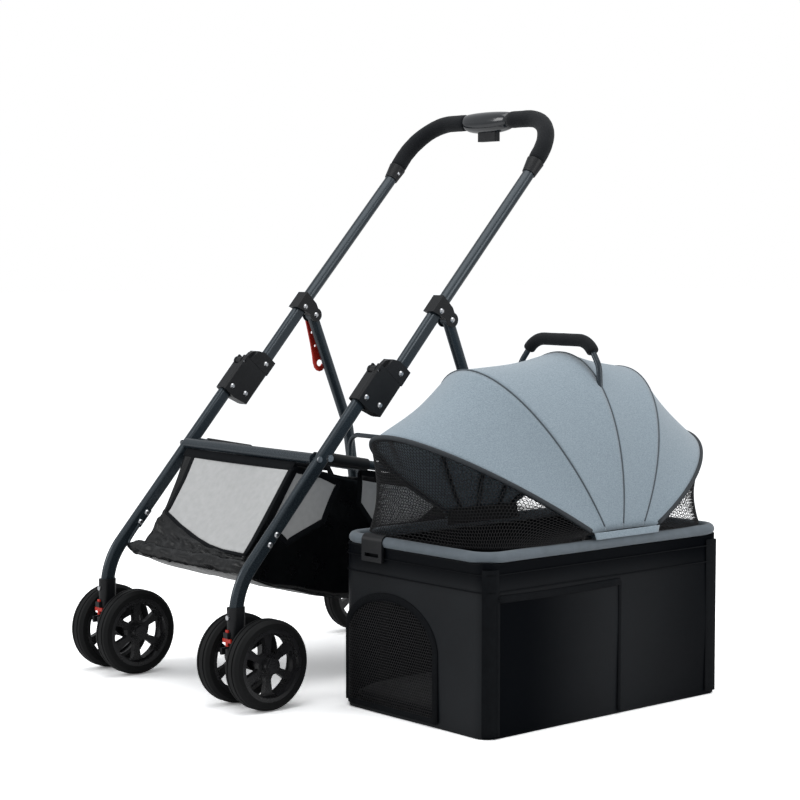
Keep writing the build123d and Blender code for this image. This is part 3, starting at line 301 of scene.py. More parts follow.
def steps(start, end, count):
    """Points from start to end in even steps."""
    return [start.lerp(end, k / count) for k in range(count + 1)]


def ahead_at(route, k):
    """The way a route runs at its point k."""
    return (route[min(k + 1, len(route) - 1)] - route[max(k - 1, 0)]).normalized()


def rounded_route(corners, radius, step):
    """Points every step along straight runs that are joined by arcs of one radius."""
    points = []
    here = corners[0]
    for before, corner, after in zip(corners, corners[1:], corners[2:]):
        into, out = (corner - before).normalized(), (after - corner).normalized()
        half = math.acos(max(-1, min(1, into.dot(out)))) / 2
        cut = radius * math.tan(half)
        start, end = corner - into * cut, corner + out * cut
        centre = start + (out - into * into.dot(out)).normalized() * radius
        points += steps(here, start, max(1, round((start - here).length / step)))[:-1]
        bends = max(2, round(radius * 2 * half / step))
        arm, side_arm = start - centre, into * radius
        points += [centre + arm * math.cos(2 * half * k / bends) + side_arm * math.sin(2 * half * k / bends)
                   for k in range(bends)]
        here = end
    return points + steps(here, corners[-1], max(1, round((corners[-1] - here).length / step)))


def hose(name, route, radius_at, sides=28):
    """Round skin along a route; radius_at takes the share of the way along, the angle and the point."""
    rings = []
    up = Vector((0, 0, 1))
    last = None
    for k, point in enumerate(route):
        ahead = ahead_at(route, k)
        if last is None:
            across = ahead.cross(up if abs(ahead.z) < 0.9 else Vector((1, 0, 0))).normalized()
        else:
            across = (last - ahead * last.dot(ahead)).normalized()
        last = across
        over = ahead.cross(across)
        for j in range(sides):
            turn = 2 * math.pi * j / sides
            radius = radius_at(k / (len(route) - 1), turn, point)
            rings.append(point + across * radius * math.cos(turn) + over * radius * math.sin(turn))
    return closed_skin(name, rings, sides)


foam = Finish("black_foam", Specular_IOR_Level=0.12, Sheen_Weight=0.10, Sheen_Roughness=0.5)
pores = foam.node("TexVoronoi", Vector=foam.place(), Scale=900.0)
foam.set(Base_Color=pores.blend_to((0.005, 0.0055, 0.0065), (0.015, 0.017, 0.020)), Roughness=0.86,
         Normal=foam.bump(pores, 0.5, 0.0006))
# (y, z) of the push bar's kink and of its top, and where the foam starts between them.
kink, reach = Vector((0.6267, 0.8833)), Vector((0.712, 0.995))
run = (reach - kink).normalized()
foam_start = kink + run * 0.0345
bar_half, bend_radius, foam_r = 0.193, 0.088, 0.0158


def grip_skin(share, turn, point):
    crease = noise.noise(point * 120) * 0.0003 + noise.noise(point * 40) * 0.0004
    ends = min(share, 1 - share) * 60
    return foam_r + crease - 0.0016 * math.exp(-ends * ends)


for side_name, side in both_sides:
    bend = [at(side * bar_half, *foam_start), at(side * bar_half, *reach), at(side * 0.0605, *reach)]
    route = rounded_route(bend, bend_radius, 0.005)
    sleeve = finish_of(hose(f"foam_grip_{side_name}", route, grip_skin), foam)
    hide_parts("foam_grips")
    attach(sleeve, "handle")


# ---- Screws of the grip collars ------------------------------------------------------------------
# One pan-head screw holds each collar, on the inner side of the bar. It is plated like the
# frame's other screws.
def screw_skin(share, turn, point):
    return 0.0032 * math.sqrt(max(0.02, 1 - share ** 3))


screw_spot = kink + run * 0.0195
for side_name, side in both_sides:
    stem = steps(at(side * 0.1795, *screw_spot), at(side * 0.1771, *screw_spot), 8)
    screw = finish_of(hose(f"collar_screw_{side_name}", stem, screw_skin, sides=20), zinc)
    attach(screw, "handle")


# ---- Grip housing --------------------------------------------------------------------------------
# Two moulded halves round the middle of the bar, fullest in the middle and deepest below, where
# the fold button comes out. They are polished, and a fine groove shows where they meet.
housing_low, housing_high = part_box("release_housing")
housing_end = (housing_high.x - housing_low.x) / 2


def housing_skin(share, turn, point):
    full = math.sin(math.pi * min(1, max(0, share))) ** 0.45
    below, ahead = max(0, math.sin(turn)), max(0, math.cos(turn))
    groove = 0.0007 * math.exp(-(math.cos(turn + 0.3) * 16) ** 2)
    return 0.0135 + full * (0.0042 + 0.0058 * below ** 1.6 + 0.0030 * ahead ** 2) - groove


housing_route = steps(at(-housing_end, *reach), at(housing_end, *reach), 60)
housing = finish_of(hose("grip_housing", housing_route, housing_skin, sides=72), shell_gloss)
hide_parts("release_housing")
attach(housing, "handle")


# ---- Rim of the carrier --------------------------------------------------------------------------
# Steel ring wrapped in grey polyester webbing; the cloth is drawn tight round the tube and a
# seam runs under it where the tub is sewn on.
carrier_x, carrier_y = (0.274, 0.629), (0.118, 0.671)
middle = Vector(((carrier_x[0] + carrier_x[1]) / 2, (carrier_y[0] + carrier_y[1]) / 2))
rim_z, rim_r = 0.280, 0.009
rim_corner, ply = 0.034, 0.0008


def on_carrier(x, y, z):
    """Point x from the carrier's middle plane, y behind its front and z above the ground."""
    return at(middle.x + x, carrier_y[0] + y, z)


def ring_points(inset, corner, step):
    """Points round the carrier's outline, inset from its outer edge, anticlockwise from above."""
    half_x = (carrier_x[1] - carrier_x[0]) / 2 - inset
    half_y = (carrier_y[1] - carrier_y[0]) / 2 - inset
    points = []
    arc = max(4, round(corner * math.pi / 2 / step))
    for quarter, (sign_x, sign_y) in enumerate(((1, 1), (-1, 1), (-1, -1), (1, -1))):
        centre = Vector((sign_x * (half_x - corner), sign_y * (half_y - corner)))
        for k in range(arc + 1):
            turn = math.radians(90 * quarter + 90 * k / arc)
            points.append(centre + Vector((corner * math.cos(turn), corner * math.sin(turn))))
    filled = []
    for a, b in zip(points, points[1:] + points[:1]):
        filled += steps(a, b, max(1, round((b - a).length / step)))[:-1]
    return filled


rim_cloth = Finish("grey_rim_cloth", Sheen_Weight=0.2, Sheen_Roughness=0.4, Specular_IOR_Level=0.3)
rib = rim_cloth.node("TexWave", settings={"bands_direction": "Z"}, Vector=rim_cloth.place(), Scale=420.0,
                     Distortion=1.2, Detail=1.0)
rim_tone = rim_cloth.grain(60, 4)
rim_cloth.set(Base_Color=rim_tone.blend_to((0.104, 0.127, 0.147), (0.162, 0.192, 0.218)),
              Roughness=0.62, Normal=rim_cloth.bump(rib, 0.35, 0.0006))


def modified(piece, kind, **values):
    """Applies one modifier to a piece for good."""
    modifier = piece.modifiers.new(kind.lower(), kind)
    for name, value in values.items():
        setattr(modifier, name, value)
    depsgraph = bpy.context.evaluated_depsgraph_get()
    mesh = bpy.data.meshes.new_from_object(piece.evaluated_get(depsgraph))
    piece.modifiers.clear()
    piece.data = mesh


ring = ring_points(rim_r, rim_corner, 0.006)
rim_points, sides = [], 20
for k, p in enumerate(ring):
    ahead = (ring[(k + 1) % len(ring)] - ring[k - 1]).normalized()
    out = Vector((ahead.y, -ahead.x))
    for j in range(sides):
        turn = 2 * math.pi * j / sides
        radius = rim_r - 0.0001 + 0.0004 * noise.noise(Vector((p.x, p.y, turn)) * 9)
        spot = middle + p + out * radius * math.cos(turn)
        rim_points.append(at(spot.x, spot.y, rim_z + radius * math.sin(turn)))
rim_faces = [tuple(corner % len(rim_points) for corner in (a, d, c, b))
             for a, b, c, d in quads(len(ring) + 1, sides, ring=True)]
rim = mesh_piece("rim_cover", rim_points, rim_faces)
modified(rim, "SOLIDIFY", thickness=ply, offset=-1)
finish_of(rim, rim_cloth)
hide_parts("rim_tube")
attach(rim, "carrier")


# ---- Carrier tub ---------------------------------------------------------------------------------
# Black coated polyester over stiff panels, sewn at the corners and hung from the rim. The walls
# belly very slightly and pull in at the hem; the front end has an arched net window.
# Its colour and shine carry painted reflection: lighter on the front face, darker on the side pocket's front
# half, along the top band and at the tail.
pocket_front, pocket_rear, pocket_high = 0.147, 0.417, 0.216
side_begins = 0.612
tub_cloth = Finish("black_coated_cloth")
weave_x, weave_z, weave_y = (
    tub_cloth.node("TexWave", settings={"bands_direction": way}, Vector=tub_cloth.place(), Scale=700.0)
    for way in "XZY")
tub_tone = tub_cloth.grain(7, 3)


def painted_sheen_fade(value, start, end, first, last):
    """How the painted reflection fades between two places on the tub, from one share of it to another."""
    return tub_cloth.node("MapRange", settings={"interpolation_type": "SMOOTHSTEP"}, Value=value,
                          From_Min=start, From_Max=end, To_Min=first, To_Max=last)


# Painted reflection: the masks below scale the cloth's base colour and specular level by place, standing in
# for room light reflected off the satin.
spot_x, spot_y, spot_z = (tub_cloth.node("SeparateXYZ", out=k, Vector=tub_cloth.place()) for k in range(3))
on_side = spot_x > datum.x + side_begins
on_pocket = (datum.y + pocket_rear - spot_y > 0) * (pocket_high - spot_z > 0)
pocket_painted_sheen = painted_sheen_fade(spot_y, datum.y + 0.20, datum.y + 0.425, 0.13, 0.94)
rear_painted_sheen = painted_sheen_fade(spot_y, datum.y + 0.42, datum.y + 0.64, 0.84, 0.28)
side_painted_sheen = on_pocket * pocket_painted_sheen + (1 - on_pocket) * rear_painted_sheen
painted_sheen = (on_side * side_painted_sheen + (1 - on_side) * 1.25) * painted_sheen_fade(spot_z, 0.214, 0.256, 1.0, 0.26)
tub_cloth.set(Base_Color=(tub_tone * painted_sheen).blend_to((0.0012, 0.0018, 0.0030), (0.0086, 0.0106, 0.0134)),
              Roughness=0.32 + tub_tone * 0.20, Specular_IOR_Level=painted_sheen * 0.17,
              Normal=tub_cloth.bump(weave_x + weave_z + weave_y, 0.12, 0.0004))
tub_top, tub_inset, tub_corner = 0.272, 0.0042, 0.026
outline = ring_points(tub_inset, tub_corner, 0.007)
levels = [0.0, 0.0015, 0.006] + [0.016 + 0.2475 * k / 30 for k in range(31)] + [0.2685, 0.2725]
tub_points = []
for z in levels:
    tuck = 0.0012 if z < 0.001 else 0.0
    for p in outline:
        belly = 0.0012 * math.sin(math.pi * z / tub_top)
        ripple = 0.0011 * noise.noise(Vector((p.x * 7, p.y * 7, z * 9)))
        inward = tuck + 0.0010 - belly - ripple
        pull_x = inward * math.copysign(1, p.x) if abs(p.x) > 0.165 else 0
        pull_y = inward * math.copysign(1, p.y) if abs(p.y) > 0.264 else 0
        tub_points.append(at(middle.x + p.x - pull_x, middle.y + p.y - pull_y, z))
base = tuple(range(len(outline)))[::-1]
tub = mesh_piece("tub_cloth", tub_points, quads(len(levels), len(outline), ring=True) + [base])
modified(tub, "SOLIDIFY", thickness=0.0028, offset=-1)

window_x, window_sill, window_spring, window_rise = (0.288, 0.506), 0.012, 0.115, 0.075
window_mid, window_half = (window_x[0] + window_x[1]) / 2, (window_x[1] - window_x[0]) / 2


def arch_outline(grow, parts=36):
    """Outline of the window in (x, z), from the sill's left end up over the arch and down."""
    points = [(window_x[0] - grow, window_sill - grow)]
    for k in range(parts + 1):
        turn = math.pi * (1 - k / parts)
        points.append((window_mid + (window_half + grow) * math.cos(turn),
                       window_spring + (window_rise + grow) * math.sin(turn)))
    points.append((window_x[1] + grow, window_sill - grow))
    return points


def face_y(x):
    """How far forward the tub's front face is at x: flat, and round at its corner."""
    into = max(0, carrier_x[0] + tub_inset + tub_corner - x)
    return carrier_y[0] + tub_inset + tub_corner - math.sqrt(tub_corner ** 2 - min(0.0259, into) ** 2)


def through_bmesh(piece, work):
    """Runs some work on the bmesh of a piece."""
    mesh = bmesh.new()
    mesh.from_mesh(piece.data)
    work(mesh)
    mesh.to_mesh(piece.data)
    mesh.free()


def prism(near, far):
    """Closed solid between two matching outlines, to cut cloth with."""
    count = len(near)
    ends = [tuple(range(count)), tuple(range(count, 2 * count))]
    solid = mesh_piece("cutter", near + far, ends + quads(2, count, ring=True), smooth=False)
    through_bmesh(solid, lambda mesh: bmesh.ops.recalc_face_normals(mesh, faces=mesh.faces))
    return solid


hole = arch_outline(-0.001)
cutter = prism(*([at(x, carrier_y[0] + depth, z) for x, z in hole] for depth in (-0.02, 0.03)))
modified(tub, "BOOLEAN", operation="DIFFERENCE", object=cutter, solver="EXACT")
bpy.data.objects.remove(cutter)
finish_of(tub, tub_cloth)
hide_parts("tub_shell")
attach(tub, "carrier")


# ---- Binding and seams of the tub ----------------------------------------------------------------
# Folded tape sewn round the window, down the corners, round the hem and round the side pocket.
# It stands off the cloth by little more than its own thickness.
tape = Finish("black_tape", Specular_IOR_Level=0.07)
tape_rib = tape.node("TexWave", settings={"bands_direction": "DIAGONAL"}, Vector=tape.place(), Scale=500.0)
tape.set(Base_Color=tape.grain(80, 3).blend_to((0.0030, 0.0036, 0.0048), (0.0070, 0.0082, 0.0100)),
         Roughness=0.6, Normal=tape.bump(tape_rib, 0.4, 0.0005))


def trim(piece, body="carrier"):
    """Makes a piece sewn-on tape, which goes with the body that it is sewn to."""
    finish_of(piece, tape)
    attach(piece, body)


def strip(name, route, facing, width, thick, body="carrier"):
    """Flat tape sewn on along a route, facing one way and rounded a little at its edges."""
    points = []
    for k, point in enumerate(route):
        ahead = ahead_at(route, k)
        across = ahead.cross(facing).normalized()
        for shift, lift in ((-0.5, 0.1), (-0.42, 0.85), (-0.15, 1.0), (0.15, 1.0), (0.42, 0.85), (0.5, 0.1),
                            (0.5, -0.2), (-0.5, -0.2)):
            points.append(point + across * width * shift + facing * thick * lift)
    trim(closed_skin(name, points, 8), body)


def grid_piece(name, columns, rows, place, thickness, finish):
    """Cloth over a grid; place puts the shares along and up it in space."""
    points = [place(i / columns, k / rows) for k in range(rows + 1) for i in range(columns + 1)]
    piece = mesh_piece(name, points, quads(rows + 1, columns + 1))
    modified(piece, "SOLIDIFY", thickness=thickness, offset=0)
    return finish_of(piece, finish)


def tub_band(name, low, high, chosen):
    """Tape sewn on round the tub between two heights, over the part of its outline that is chosen."""
    around = ring_points(0.0028, 0.027, 0.007)
    ring = [p for p in around if chosen(middle.x + p.x, middle.y + p.y)]
    ring += ring[:1] if len(ring) == len(around) else []

    def place(i, k):
        spot = middle + ring[round(i * (len(ring) - 1))]
        return at(spot.x, spot.y, low + (high - low) * k)

    trim(grid_piece(name, len(ring) - 1, max(1, round((high - low) / 0.012)), place, 0.0008, tape))


side_face = carrier_x[1] - 0.0035
forward, outward = Vector((0, -1, 0)), Vector((1, 0, 0))
arch_route = [at(x, face_y(x) - 0.0007, z) for x, z in arch_outline(0.003, 48)]
arch_route[:1] = steps(*arch_route[:2], 8)[:-1]
strip("window_binding", arch_route, forward, 0.013, 0.0016)
sill_spots = [window_x[0] - 0.006 + (window_x[1] - window_x[0] + 0.012) * k / 24 for k in range(25)]
sill_route = [at(x, face_y(x) - 0.0007, window_sill - 0.002) for x in sill_spots]
strip("sill_binding", sill_route, forward, 0.009, 0.0014)
for name, y in (("pocket_front_edge", pocket_front), ("pocket_rear_edge", pocket_rear)):
    strip(name, steps(at(side_face, y, 0.004), at(side_face, y, pocket_high), 20), outward, 0.007, 0.0012)
pocket_top = [at(side_face, pocket_front + (pocket_rear - pocket_front) * k / 20,
                 pocket_high - 0.002 * math.sin(math.pi * k / 20)) for k in range(21)]
strip("pocket_top_edge", pocket_top, outward, 0.012, 0.0018)
tub_band("hem_seam_top", 0.2532, 0.2548, lambda x, y: True)
tub_band("hem_seam_low", 0.2262, 0.2278, lambda x, y: True)
tub_band("front_corner_band", 0.004, 0.262, lambda x, y: x > side_begins and y < 0.150)
strip("corner_tape", steps(at(side_face, 0.640, 0.006), at(side_face, 0.640, 0.264), 20), outward,
      0.026, 0.0009)


# ---- Window net ----------------------------------------------------------------------------------
# Knitted hexagonal net, sewn into the arch to let air in. Its threads are real, so light passes
# between them.
thread = clouded("net_thread", (0.010, 0.010, 0.011), (0.026, 0.026, 0.028), (200, 2), (0.5, 0),
                 (2500, 2, 0.3, 0.0003), Specular_IOR_Level=0.35)


def weld(mesh):
    """Joins knots that fell together at the edge of a net, and drops the threads between them."""
    bmesh.ops.remove_doubles(mesh, verts=mesh.verts, dist=0.0004)
    bmesh.ops.dissolve_degenerate(mesh, dist=0.0003, edges=mesh.edges)


def hexagon_net(name, width, height_at, place, cell, thickness, finish):
    """Net of six-sided holes over a strip width long and height_at(a) high; place(a, b) is a point of it."""
    step_a, step_b = cell * math.sqrt(3), cell * 1.5
    corners, index, faces = [], {}, []
    for row in range(int(2 + max(height_at(width * k / 40) for k in range(41)) / step_b)):
        for column in range(int(width / step_a) + 2):
            centre_a = column * step_a + (row % 2) * step_a / 2
            centre_b = row * step_b
            if centre_a > width + step_a / 2 or centre_b > height_at(min(width, centre_a)) + cell * 0.4:
                continue
            face = []
            for k in range(6):
                turn = math.radians(30 + 60 * k)
                a, b = centre_a + cell * math.cos(turn), centre_b + cell * math.sin(turn)
                key = (round(a * 5000), round(b * 5000))
                if key not in index:
                    a = min(max(a, 0), width)
                    index[key] = len(corners)
                    corners.append(place(a, min(max(b, 0), height_at(a))))
                face.append(index[key])
            faces.append(tuple(face))
    net = mesh_piece(name, corners, faces)
    through_bmesh(net, weld)
    modified(net, "WIREFRAME", thickness=thickness, use_replace=True, use_even_offset=False, offset=0)
    return finish_of(net, finish)


def window_height(a):
    """How high the window is, a from its left edge."""
    x = (window_x[0] + a - window_mid) / window_half
    return window_spring - window_sill + window_rise * math.sqrt(max(0, 1 - min(1, x * x)))


def window_place(a, b):
    return at(window_x[0] + a, face_y(window_x[0] + a) + 0.0007, window_sill + b)


window_net = hexagon_net("window_net", window_x[1] - window_x[0], window_height, window_place, 0.0030,
                         0.0013, thread)
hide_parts("window_mesh")
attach(window_net, "carrier")


# ---- Canopy --------------------------------------------------------------------------------------
# Heather polyester in two halves of two gores each, sewn together over sprung hoops. Each gore
# is pulled hollow between its hoops, and piping covers every seam.
pivot_z = 0.2973
hoop_half = 0.1685
canopy_middle = 0.31
# For each hoop: its pivot's distance from the carrier's front, its reach, and its lean in degrees.
hoops = {1: (0.242, 0.319, -60.7), 2: (0.270, 0.294, -29.8), 3: (0.306, 0.278, 6.0), 4: (0.352, 0.278, 26.7),
         5: (0.378, 0.271, 61.0)}


def hoop_point(number, share, lift):
    """Point on a hoop's arch, lifted off its middle line; share runs from its right to its left end."""
    along, reach_up, lean = hoops[number]
    turn, tilt = math.pi * share, math.radians(lean)
    rise = (reach_up + lift) * math.sin(turn)
    return on_carrier(-(hoop_half + lift) * math.cos(turn), along + rise * math.sin(tilt),
                      pivot_z + rise * math.cos(tilt))


def hoop_normal(number):
    """The way a hoop's plane faces."""
    tilt = math.radians(hoops[number][2])
    return Vector((0, math.cos(tilt), -math.sin(tilt)))


def lift_of(number):
    """How far the cloth lies off a hoop's middle line; the end hoops have padded piping."""
    return 0.0069 if number in (1, 5) else 0.0043


heather = Finish("heather_polyester", Sheen_Weight=0.35, Sheen_Roughness=0.45, Specular_IOR_Level=0.25)
fleck = heather.grain(620, 4, 0.8)
streak = heather.node("TexNoise", Vector=heather.node("Mapping", Vector=heather.place(), i3=(1, 1, 6)),
                      Scale=260.0, Detail=3.0)
mottled = fleck * 1.9 + streak * 0.9 - 0.90
heather.set(Base_Color=mottled.blend_to((0.178, 0.228, 0.270), (0.380, 0.457, 0.515)), Roughness=0.85,
            Normal=heather.bump(fleck, 0.35, 0.0006))


def gore(first, second, hollow):
    """Cloth between two hoops, pulled in by hollow in its middle."""
    centre = on_carrier(0, canopy_middle, pivot_z + 0.02)

    def place(i, k):
        share = 0.004 + 0.992 * i
        start, end = (hoop_point(number, share, lift_of(number)) for number in (first, second))
        point = start.lerp(end, k)
        span = math.sin(math.pi * share) ** 0.7 if 0 < i < 1 else 0
        fold = noise.noise(point * 11) * 0.0018 * span
        between = math.sin(math.pi * k)
        inward = (centre - point).normalized()
        return point + inward * (hollow * between ** 0.9 * span + fold * between)

    return grid_piece(f"canopy_gore_{first}_{second}", 60, 16, place, 0.0012, heather)


for first, second, node, body, joint, fixed, hollow, keep in (
        (1, 2, "canopy_front", "hoop_1", "canopy_front_open", 1, 0.0085, 0.2),
        (3, 2, "canopy_front", "carrier", "canopy_front_open", 3, 0.005, 0.17),
        (3, 4, "canopy_rear", "carrier", "canopy_rear_open", 3, 0.004, 0.42),
        (5, 4, "canopy_rear", "hoop_5", "canopy_rear_open", 5, 0.006, 0.25)):
    cloth = gore(first, second, hollow)
    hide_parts(node)
    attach(cloth, body)
    arch = [hoop_point(first, k / 60, lift_of(first)) for k in range(61)]
    arc = sum((b - a).length for a, b in zip(arch, arch[1:]))
    foot = abs(hoops[first][0] - hoops[second][0])
    crown = (hoop_point(first, 0.5, 0) - hoop_point(second, 0.5, 0)).length
    hoop_normal(fixed)
    hoop_point(fixed, 0.5, 0)
    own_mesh(cloth)

# The gores' lower ends are sewn to a short skirt that hangs outside the pivots, down to the rim.
for side_name, side in both_sides:
    skirt = grid_piece(f"canopy_skirt_{side_name}", 30, 5, lambda i, k: on_carrier(
        side * (0.1804 - 0.0008 * k), 0.2375 - 0.004 * k + (0.145 + 0.008 * k) * i, 0.2893 + 0.0112 * k),
                       0.0010, heather)
    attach(skirt, "carrier")

# The end hoops have fat dark piping, the ones between them a thin grey one.
piping_cloth = clouded("dark_piping", (0.022, 0.026, 0.030), (0.05, 0.057, 0.064), (300, 2), (0.6, 0),
                       (1500, 2, 0.3, 0.0004), Specular_IOR_Level=0.3)
seam_cloth = clouded("grey_seam", (0.070, 0.085, 0.098), (0.115, 0.135, 0.152), (300, 2), (0.7, 0),
                     (1500, 2, 0.3, 0.0004), Specular_IOR_Level=0.3)
for number, body, thickness in ((1, "hoop_1", 0.0036), (2, "hoop_2", 0.0013), (3, "carrier", 0.0013),
                                (4, "hoop_4", 0.0013), (5, "hoop_5", 0.0036)):
    route = [hoop_point(number, k / 72, lift_of(number) + 0.0006) for k in range(1, 72)]
    cord = finish_of(hose(f"canopy_piping_{number}", route, lambda share, turn, point: thickness, sides=10),
                     piping_cloth if number in (1, 5) else seam_cloth)
    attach(cord, body)


# ---- End nets ------------------------------------------------------------------------------------
# Hexagonal net from the end hoops down to the rim, zipped along the rim's outside. It is drawn in
# a little between the two, and goes with its hoop when the canopy opens.
net_thread = clouded("end_net_thread", (0.008, 0.008, 0.009), (0.022, 0.022, 0.024), (200, 2), (0.55, 0),
                     (2500, 2, 0.3, 0.0003), Specular_IOR_Level=0.35)


def rim_foot(share, front):
    """Point on top of the rim under an end net, share as on the hoops."""
    cosine, sine = math.cos(math.pi * share), math.sin(math.pi * share)
    squareness = 2 / 4.5
    x = -math.copysign(abs(cosine) ** squareness, cosine) * 0.1715
    along, length = (0.214, -0.200) if front else (0.402, 0.138)
    return on_carrier(x, along + length * sine ** squareness, 0.2895)


for name, number, front, node, joint, body in (
        ("front_end_net", 1, True, "front_net", "canopy_front_open", "hoop_1"),
        ("rear_end_net", 5, False, "rear_net", "canopy_rear_open", "hoop_5")):
    samples = 160
    top = [hoop_point(number, k / samples, lift_of(number)) for k in range(samples + 1)]
    foot = [rim_foot(k / samples, front) for k in range(samples + 1)]
    length = [0.0]
    for k in range(samples):
        length.append(length[-1] + ((top[k + 1] + foot[k + 1]) / 2 - (top[k] + foot[k]) / 2).length)

    def between(a, rows):
        """Interpolates a list of points by the distance a along the strip."""
        k = next((i for i in range(samples) if length[i + 1] >= a), samples - 1)
        span = length[k + 1] - length[k]
        return rows[k].lerp(rows[k + 1], min(1, max(0, (a - length[k]) / span)))

    def net_height(a):
        return (between(a, top) - between(a, foot)).length

    def net_place(a, b):
        low, high = between(a, foot), between(a, top)
        share = b / max(1e-6, (high - low).length)
        inward = (on_carrier(0, canopy_middle, 0.32) - low.lerp(high, share)).normalized()
        return low.lerp(high, share) + inward * 0.010 * math.sin(math.pi * min(1, share))

    net = hexagon_net(name, length[-1], net_height, net_place, 0.0036, 0.0012, net_thread)
    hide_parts(node)
    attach(net, body)
    hoop_normal(number)
    hoop_point(number, 0.5, 0)
    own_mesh(net)


# ---- Cushion -------------------------------------------------------------------------------------
# Fleece pad on the board, filled with wadding: it crowns in the middle and pulls in at the sides.
# Piping runs round its seam.
fleece = Finish("black_fleece", Sheen_Weight=0.12, Sheen_Roughness=0.6, Specular_IOR_Level=0.1)
pile = fleece.grain(420, 4)
fleece.set(Base_Color=pile.blend_to((0.008, 0.008, 0.009), (0.030, 0.030, 0.033)), Roughness=0.95,
           Normal=fleece.bump(pile, 0.6, 0.0015))
pad_low, pad_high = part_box("cushion")
pad_mid, pad_half = (pad_low + pad_high) / 2, (pad_high - pad_low) / 2
pad_points, pad_n = [], 40
for top_side in (0, 1):
    for i in range(pad_n + 1):
        for k in range(pad_n + 1):
            u, v = 2 * i / pad_n - 1, 2 * k / pad_n - 1
            edge = (1 - abs(u) ** 6) * (1 - abs(v) ** 6)
            pinch = 0.985 * (1 - 0.018 * (1 - u * u) * (abs(v) > 0.9) - 0.012 * (1 - v * v) * (abs(u) > 0.9))
            if top_side:
                z = pad_mid.z + pad_half.z * (0.30 + 0.70 * edge ** 0.6)
            else:
                z = pad_low.z + 0.0005 + pad_half.z * 0.6 * (1 - edge) ** 2
            z += 0.0012 * noise.noise(Vector((u * 3, v * 4, top_side))) * edge
            pad_points.append(Vector((pad_mid.x + pad_half.x * u * pinch,
                                      pad_mid.y + pad_half.y * v * pinch, z)))
grid = (pad_n + 1) ** 2
pad_faces = [face for a, b, c, d in quads(pad_n + 1, pad_n + 1)
             for face in ((a, b, c, d), (grid + a, grid + d, grid + c, grid + b))]
border = [*range(pad_n), *(pad_n + i * (pad_n + 1) for i in range(pad_n)),
          *(pad_n * (pad_n + 1) + k for k in range(pad_n, 0, -1)),
          *(i * (pad_n + 1) for i in range(pad_n, 0, -1))]
pad_faces += [(a, grid + a, grid + b, b) for a, b in zip(border, border[1:] + border[:1])]
pad = mesh_piece("fleece_cushion", pad_points, pad_faces)


def swell(piece, voxel, furthest, rest):
    """Blows a pad up as its filling does; no point goes further than furthest or under its rest."""
    frames = 20
    modified(piece, "REMESH", mode="VOXEL", voxel_size=voxel, use_smooth_shade=True)
    start = [corner.co.copy() for corner in piece.data.vertices]
    filling = piece.modifiers.new("filling", "CLOTH")
    filling.settings.use_pressure = True
    filling.settings.uniform_pressure_force = 4
    filling.settings.effector_weights.gravity = 0
    filling.point_cache.frame_end = frames
    for number in range(1, frames + 1):
        bpy.context.scene.frame_set(number)
    swollen = bpy.data.meshes.new_from_object(piece.evaluated_get(bpy.context.evaluated_depsgraph_get()))
    for corner, before in zip(swollen.vertices, start):
        move = corner.co - before
        if move.length > furthest:
            corner.co = before + move.normalized() * furthest
        corner.co.z = max(corner.co.z, rest)
    piece.modifiers.clear()
    piece.data = swollen
    bpy.context.scene.frame_set(1)
    modified(piece, "SUBSURF", levels=1)


swell(pad, 0.006, 0.006, pad_low.z + 0.0002)
finish_of(pad, fleece)
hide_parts("cushion")
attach(pad, "carrier")
pad_edge = [Vector((pad_mid.x + pad_half.x * 0.97 * x, pad_mid.y + pad_half.y * 0.975 * y, pad_mid.z))
            for x, y in ((0, -1), (1, -1), (1, 1), (-1, 1), (-1, -1), (0, -1))]
pad_piping = finish_of(hose("cushion_piping", rounded_route(pad_edge, 0.03, 0.008),
                            lambda share, turn, point: 0.0028, sides=10), tape)
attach(pad_piping, "carrier")


# ---- Carrying grip -------------------------------------------------------------------------------
# Foam sleeve on the arch over the canopy, by which a hand carries the whole carrier. It thins a
# little at both ends.
lean = math.radians(hoops[3][2])


def arch_point(x, height):
    """Point in the plane of the arch, x from the carrier's middle, height over the hoops' pivots."""
    return on_carrier(x, hoops[3][0] + height * math.sin(lean), pivot_z + height * math.cos(lean))


def carry_skin(share, turn, point):
    ends = min(share, 1 - share) * 50
    return 0.0106 + 0.0004 * noise.noise(point * 60) - 0.0015 * math.exp(-ends * ends)


grip_route = rounded_route([arch_point(-0.0756, 0.285), arch_point(-0.062, 0.304), arch_point(0.062, 0.304),
                            arch_point(0.0756, 0.285)], 0.042, 0.004)
carry_foam = finish_of(hose("carry_foam", grip_route, carry_skin), foam)
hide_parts("carry_grip")
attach(carry_foam, "carrier")


# ---- Storage basket ------------------------------------------------------------------------------
# Thin black polyester tray that hangs from the crossbar and sags between its corners, with a
# panel of fine net in its front and one in each side, bound with black tape. Its front edge is
# sewn round a bent wire as a padded roll.
basket_half = 0.156
# (y, z) of its outline from the side: down the front panel, under the sag and up at the rear.
side_line = [(0.129, 0.389), (0.065, 0.313), (0.0, 0.232), (0.004, 0.216), (0.014, 0.209), (0.066, 0.190),
             (0.118, 0.179), (0.165, 0.166), (0.212, 0.156), (0.270, 0.151), (0.330, 0.148), (0.390, 0.152),
             (0.430, 0.160), (0.470, 0.173), (0.495, 0.192), (0.512, 0.215), (0.518, 0.245), (0.521, 0.285),
             (0.523, 0.320)]


def smooth_line(points, step):
    """Catmull-Rom points about step apart through (y, z) pairs."""
    made = []
    for k in range(len(points) - 1):
        p0, p1 = Vector(points[max(k - 1, 0)]), Vector(points[k])
        p2, p3 = Vector(points[k + 1]), Vector(points[min(k + 2, len(points) - 1)])
        count = max(1, round((p2 - p1).length / step))
        for j in range(count):
            t = j / count
            made.append(0.5 * ((2 * p1) + (p2 - p0) * t + (2 * p0 - 5 * p1 + 4 * p2 - p3) * t * t +
                               (3 * p1 - p0 - 3 * p2 + p3) * t ** 3))
    made.append(Vector(points[-1]))
    return made


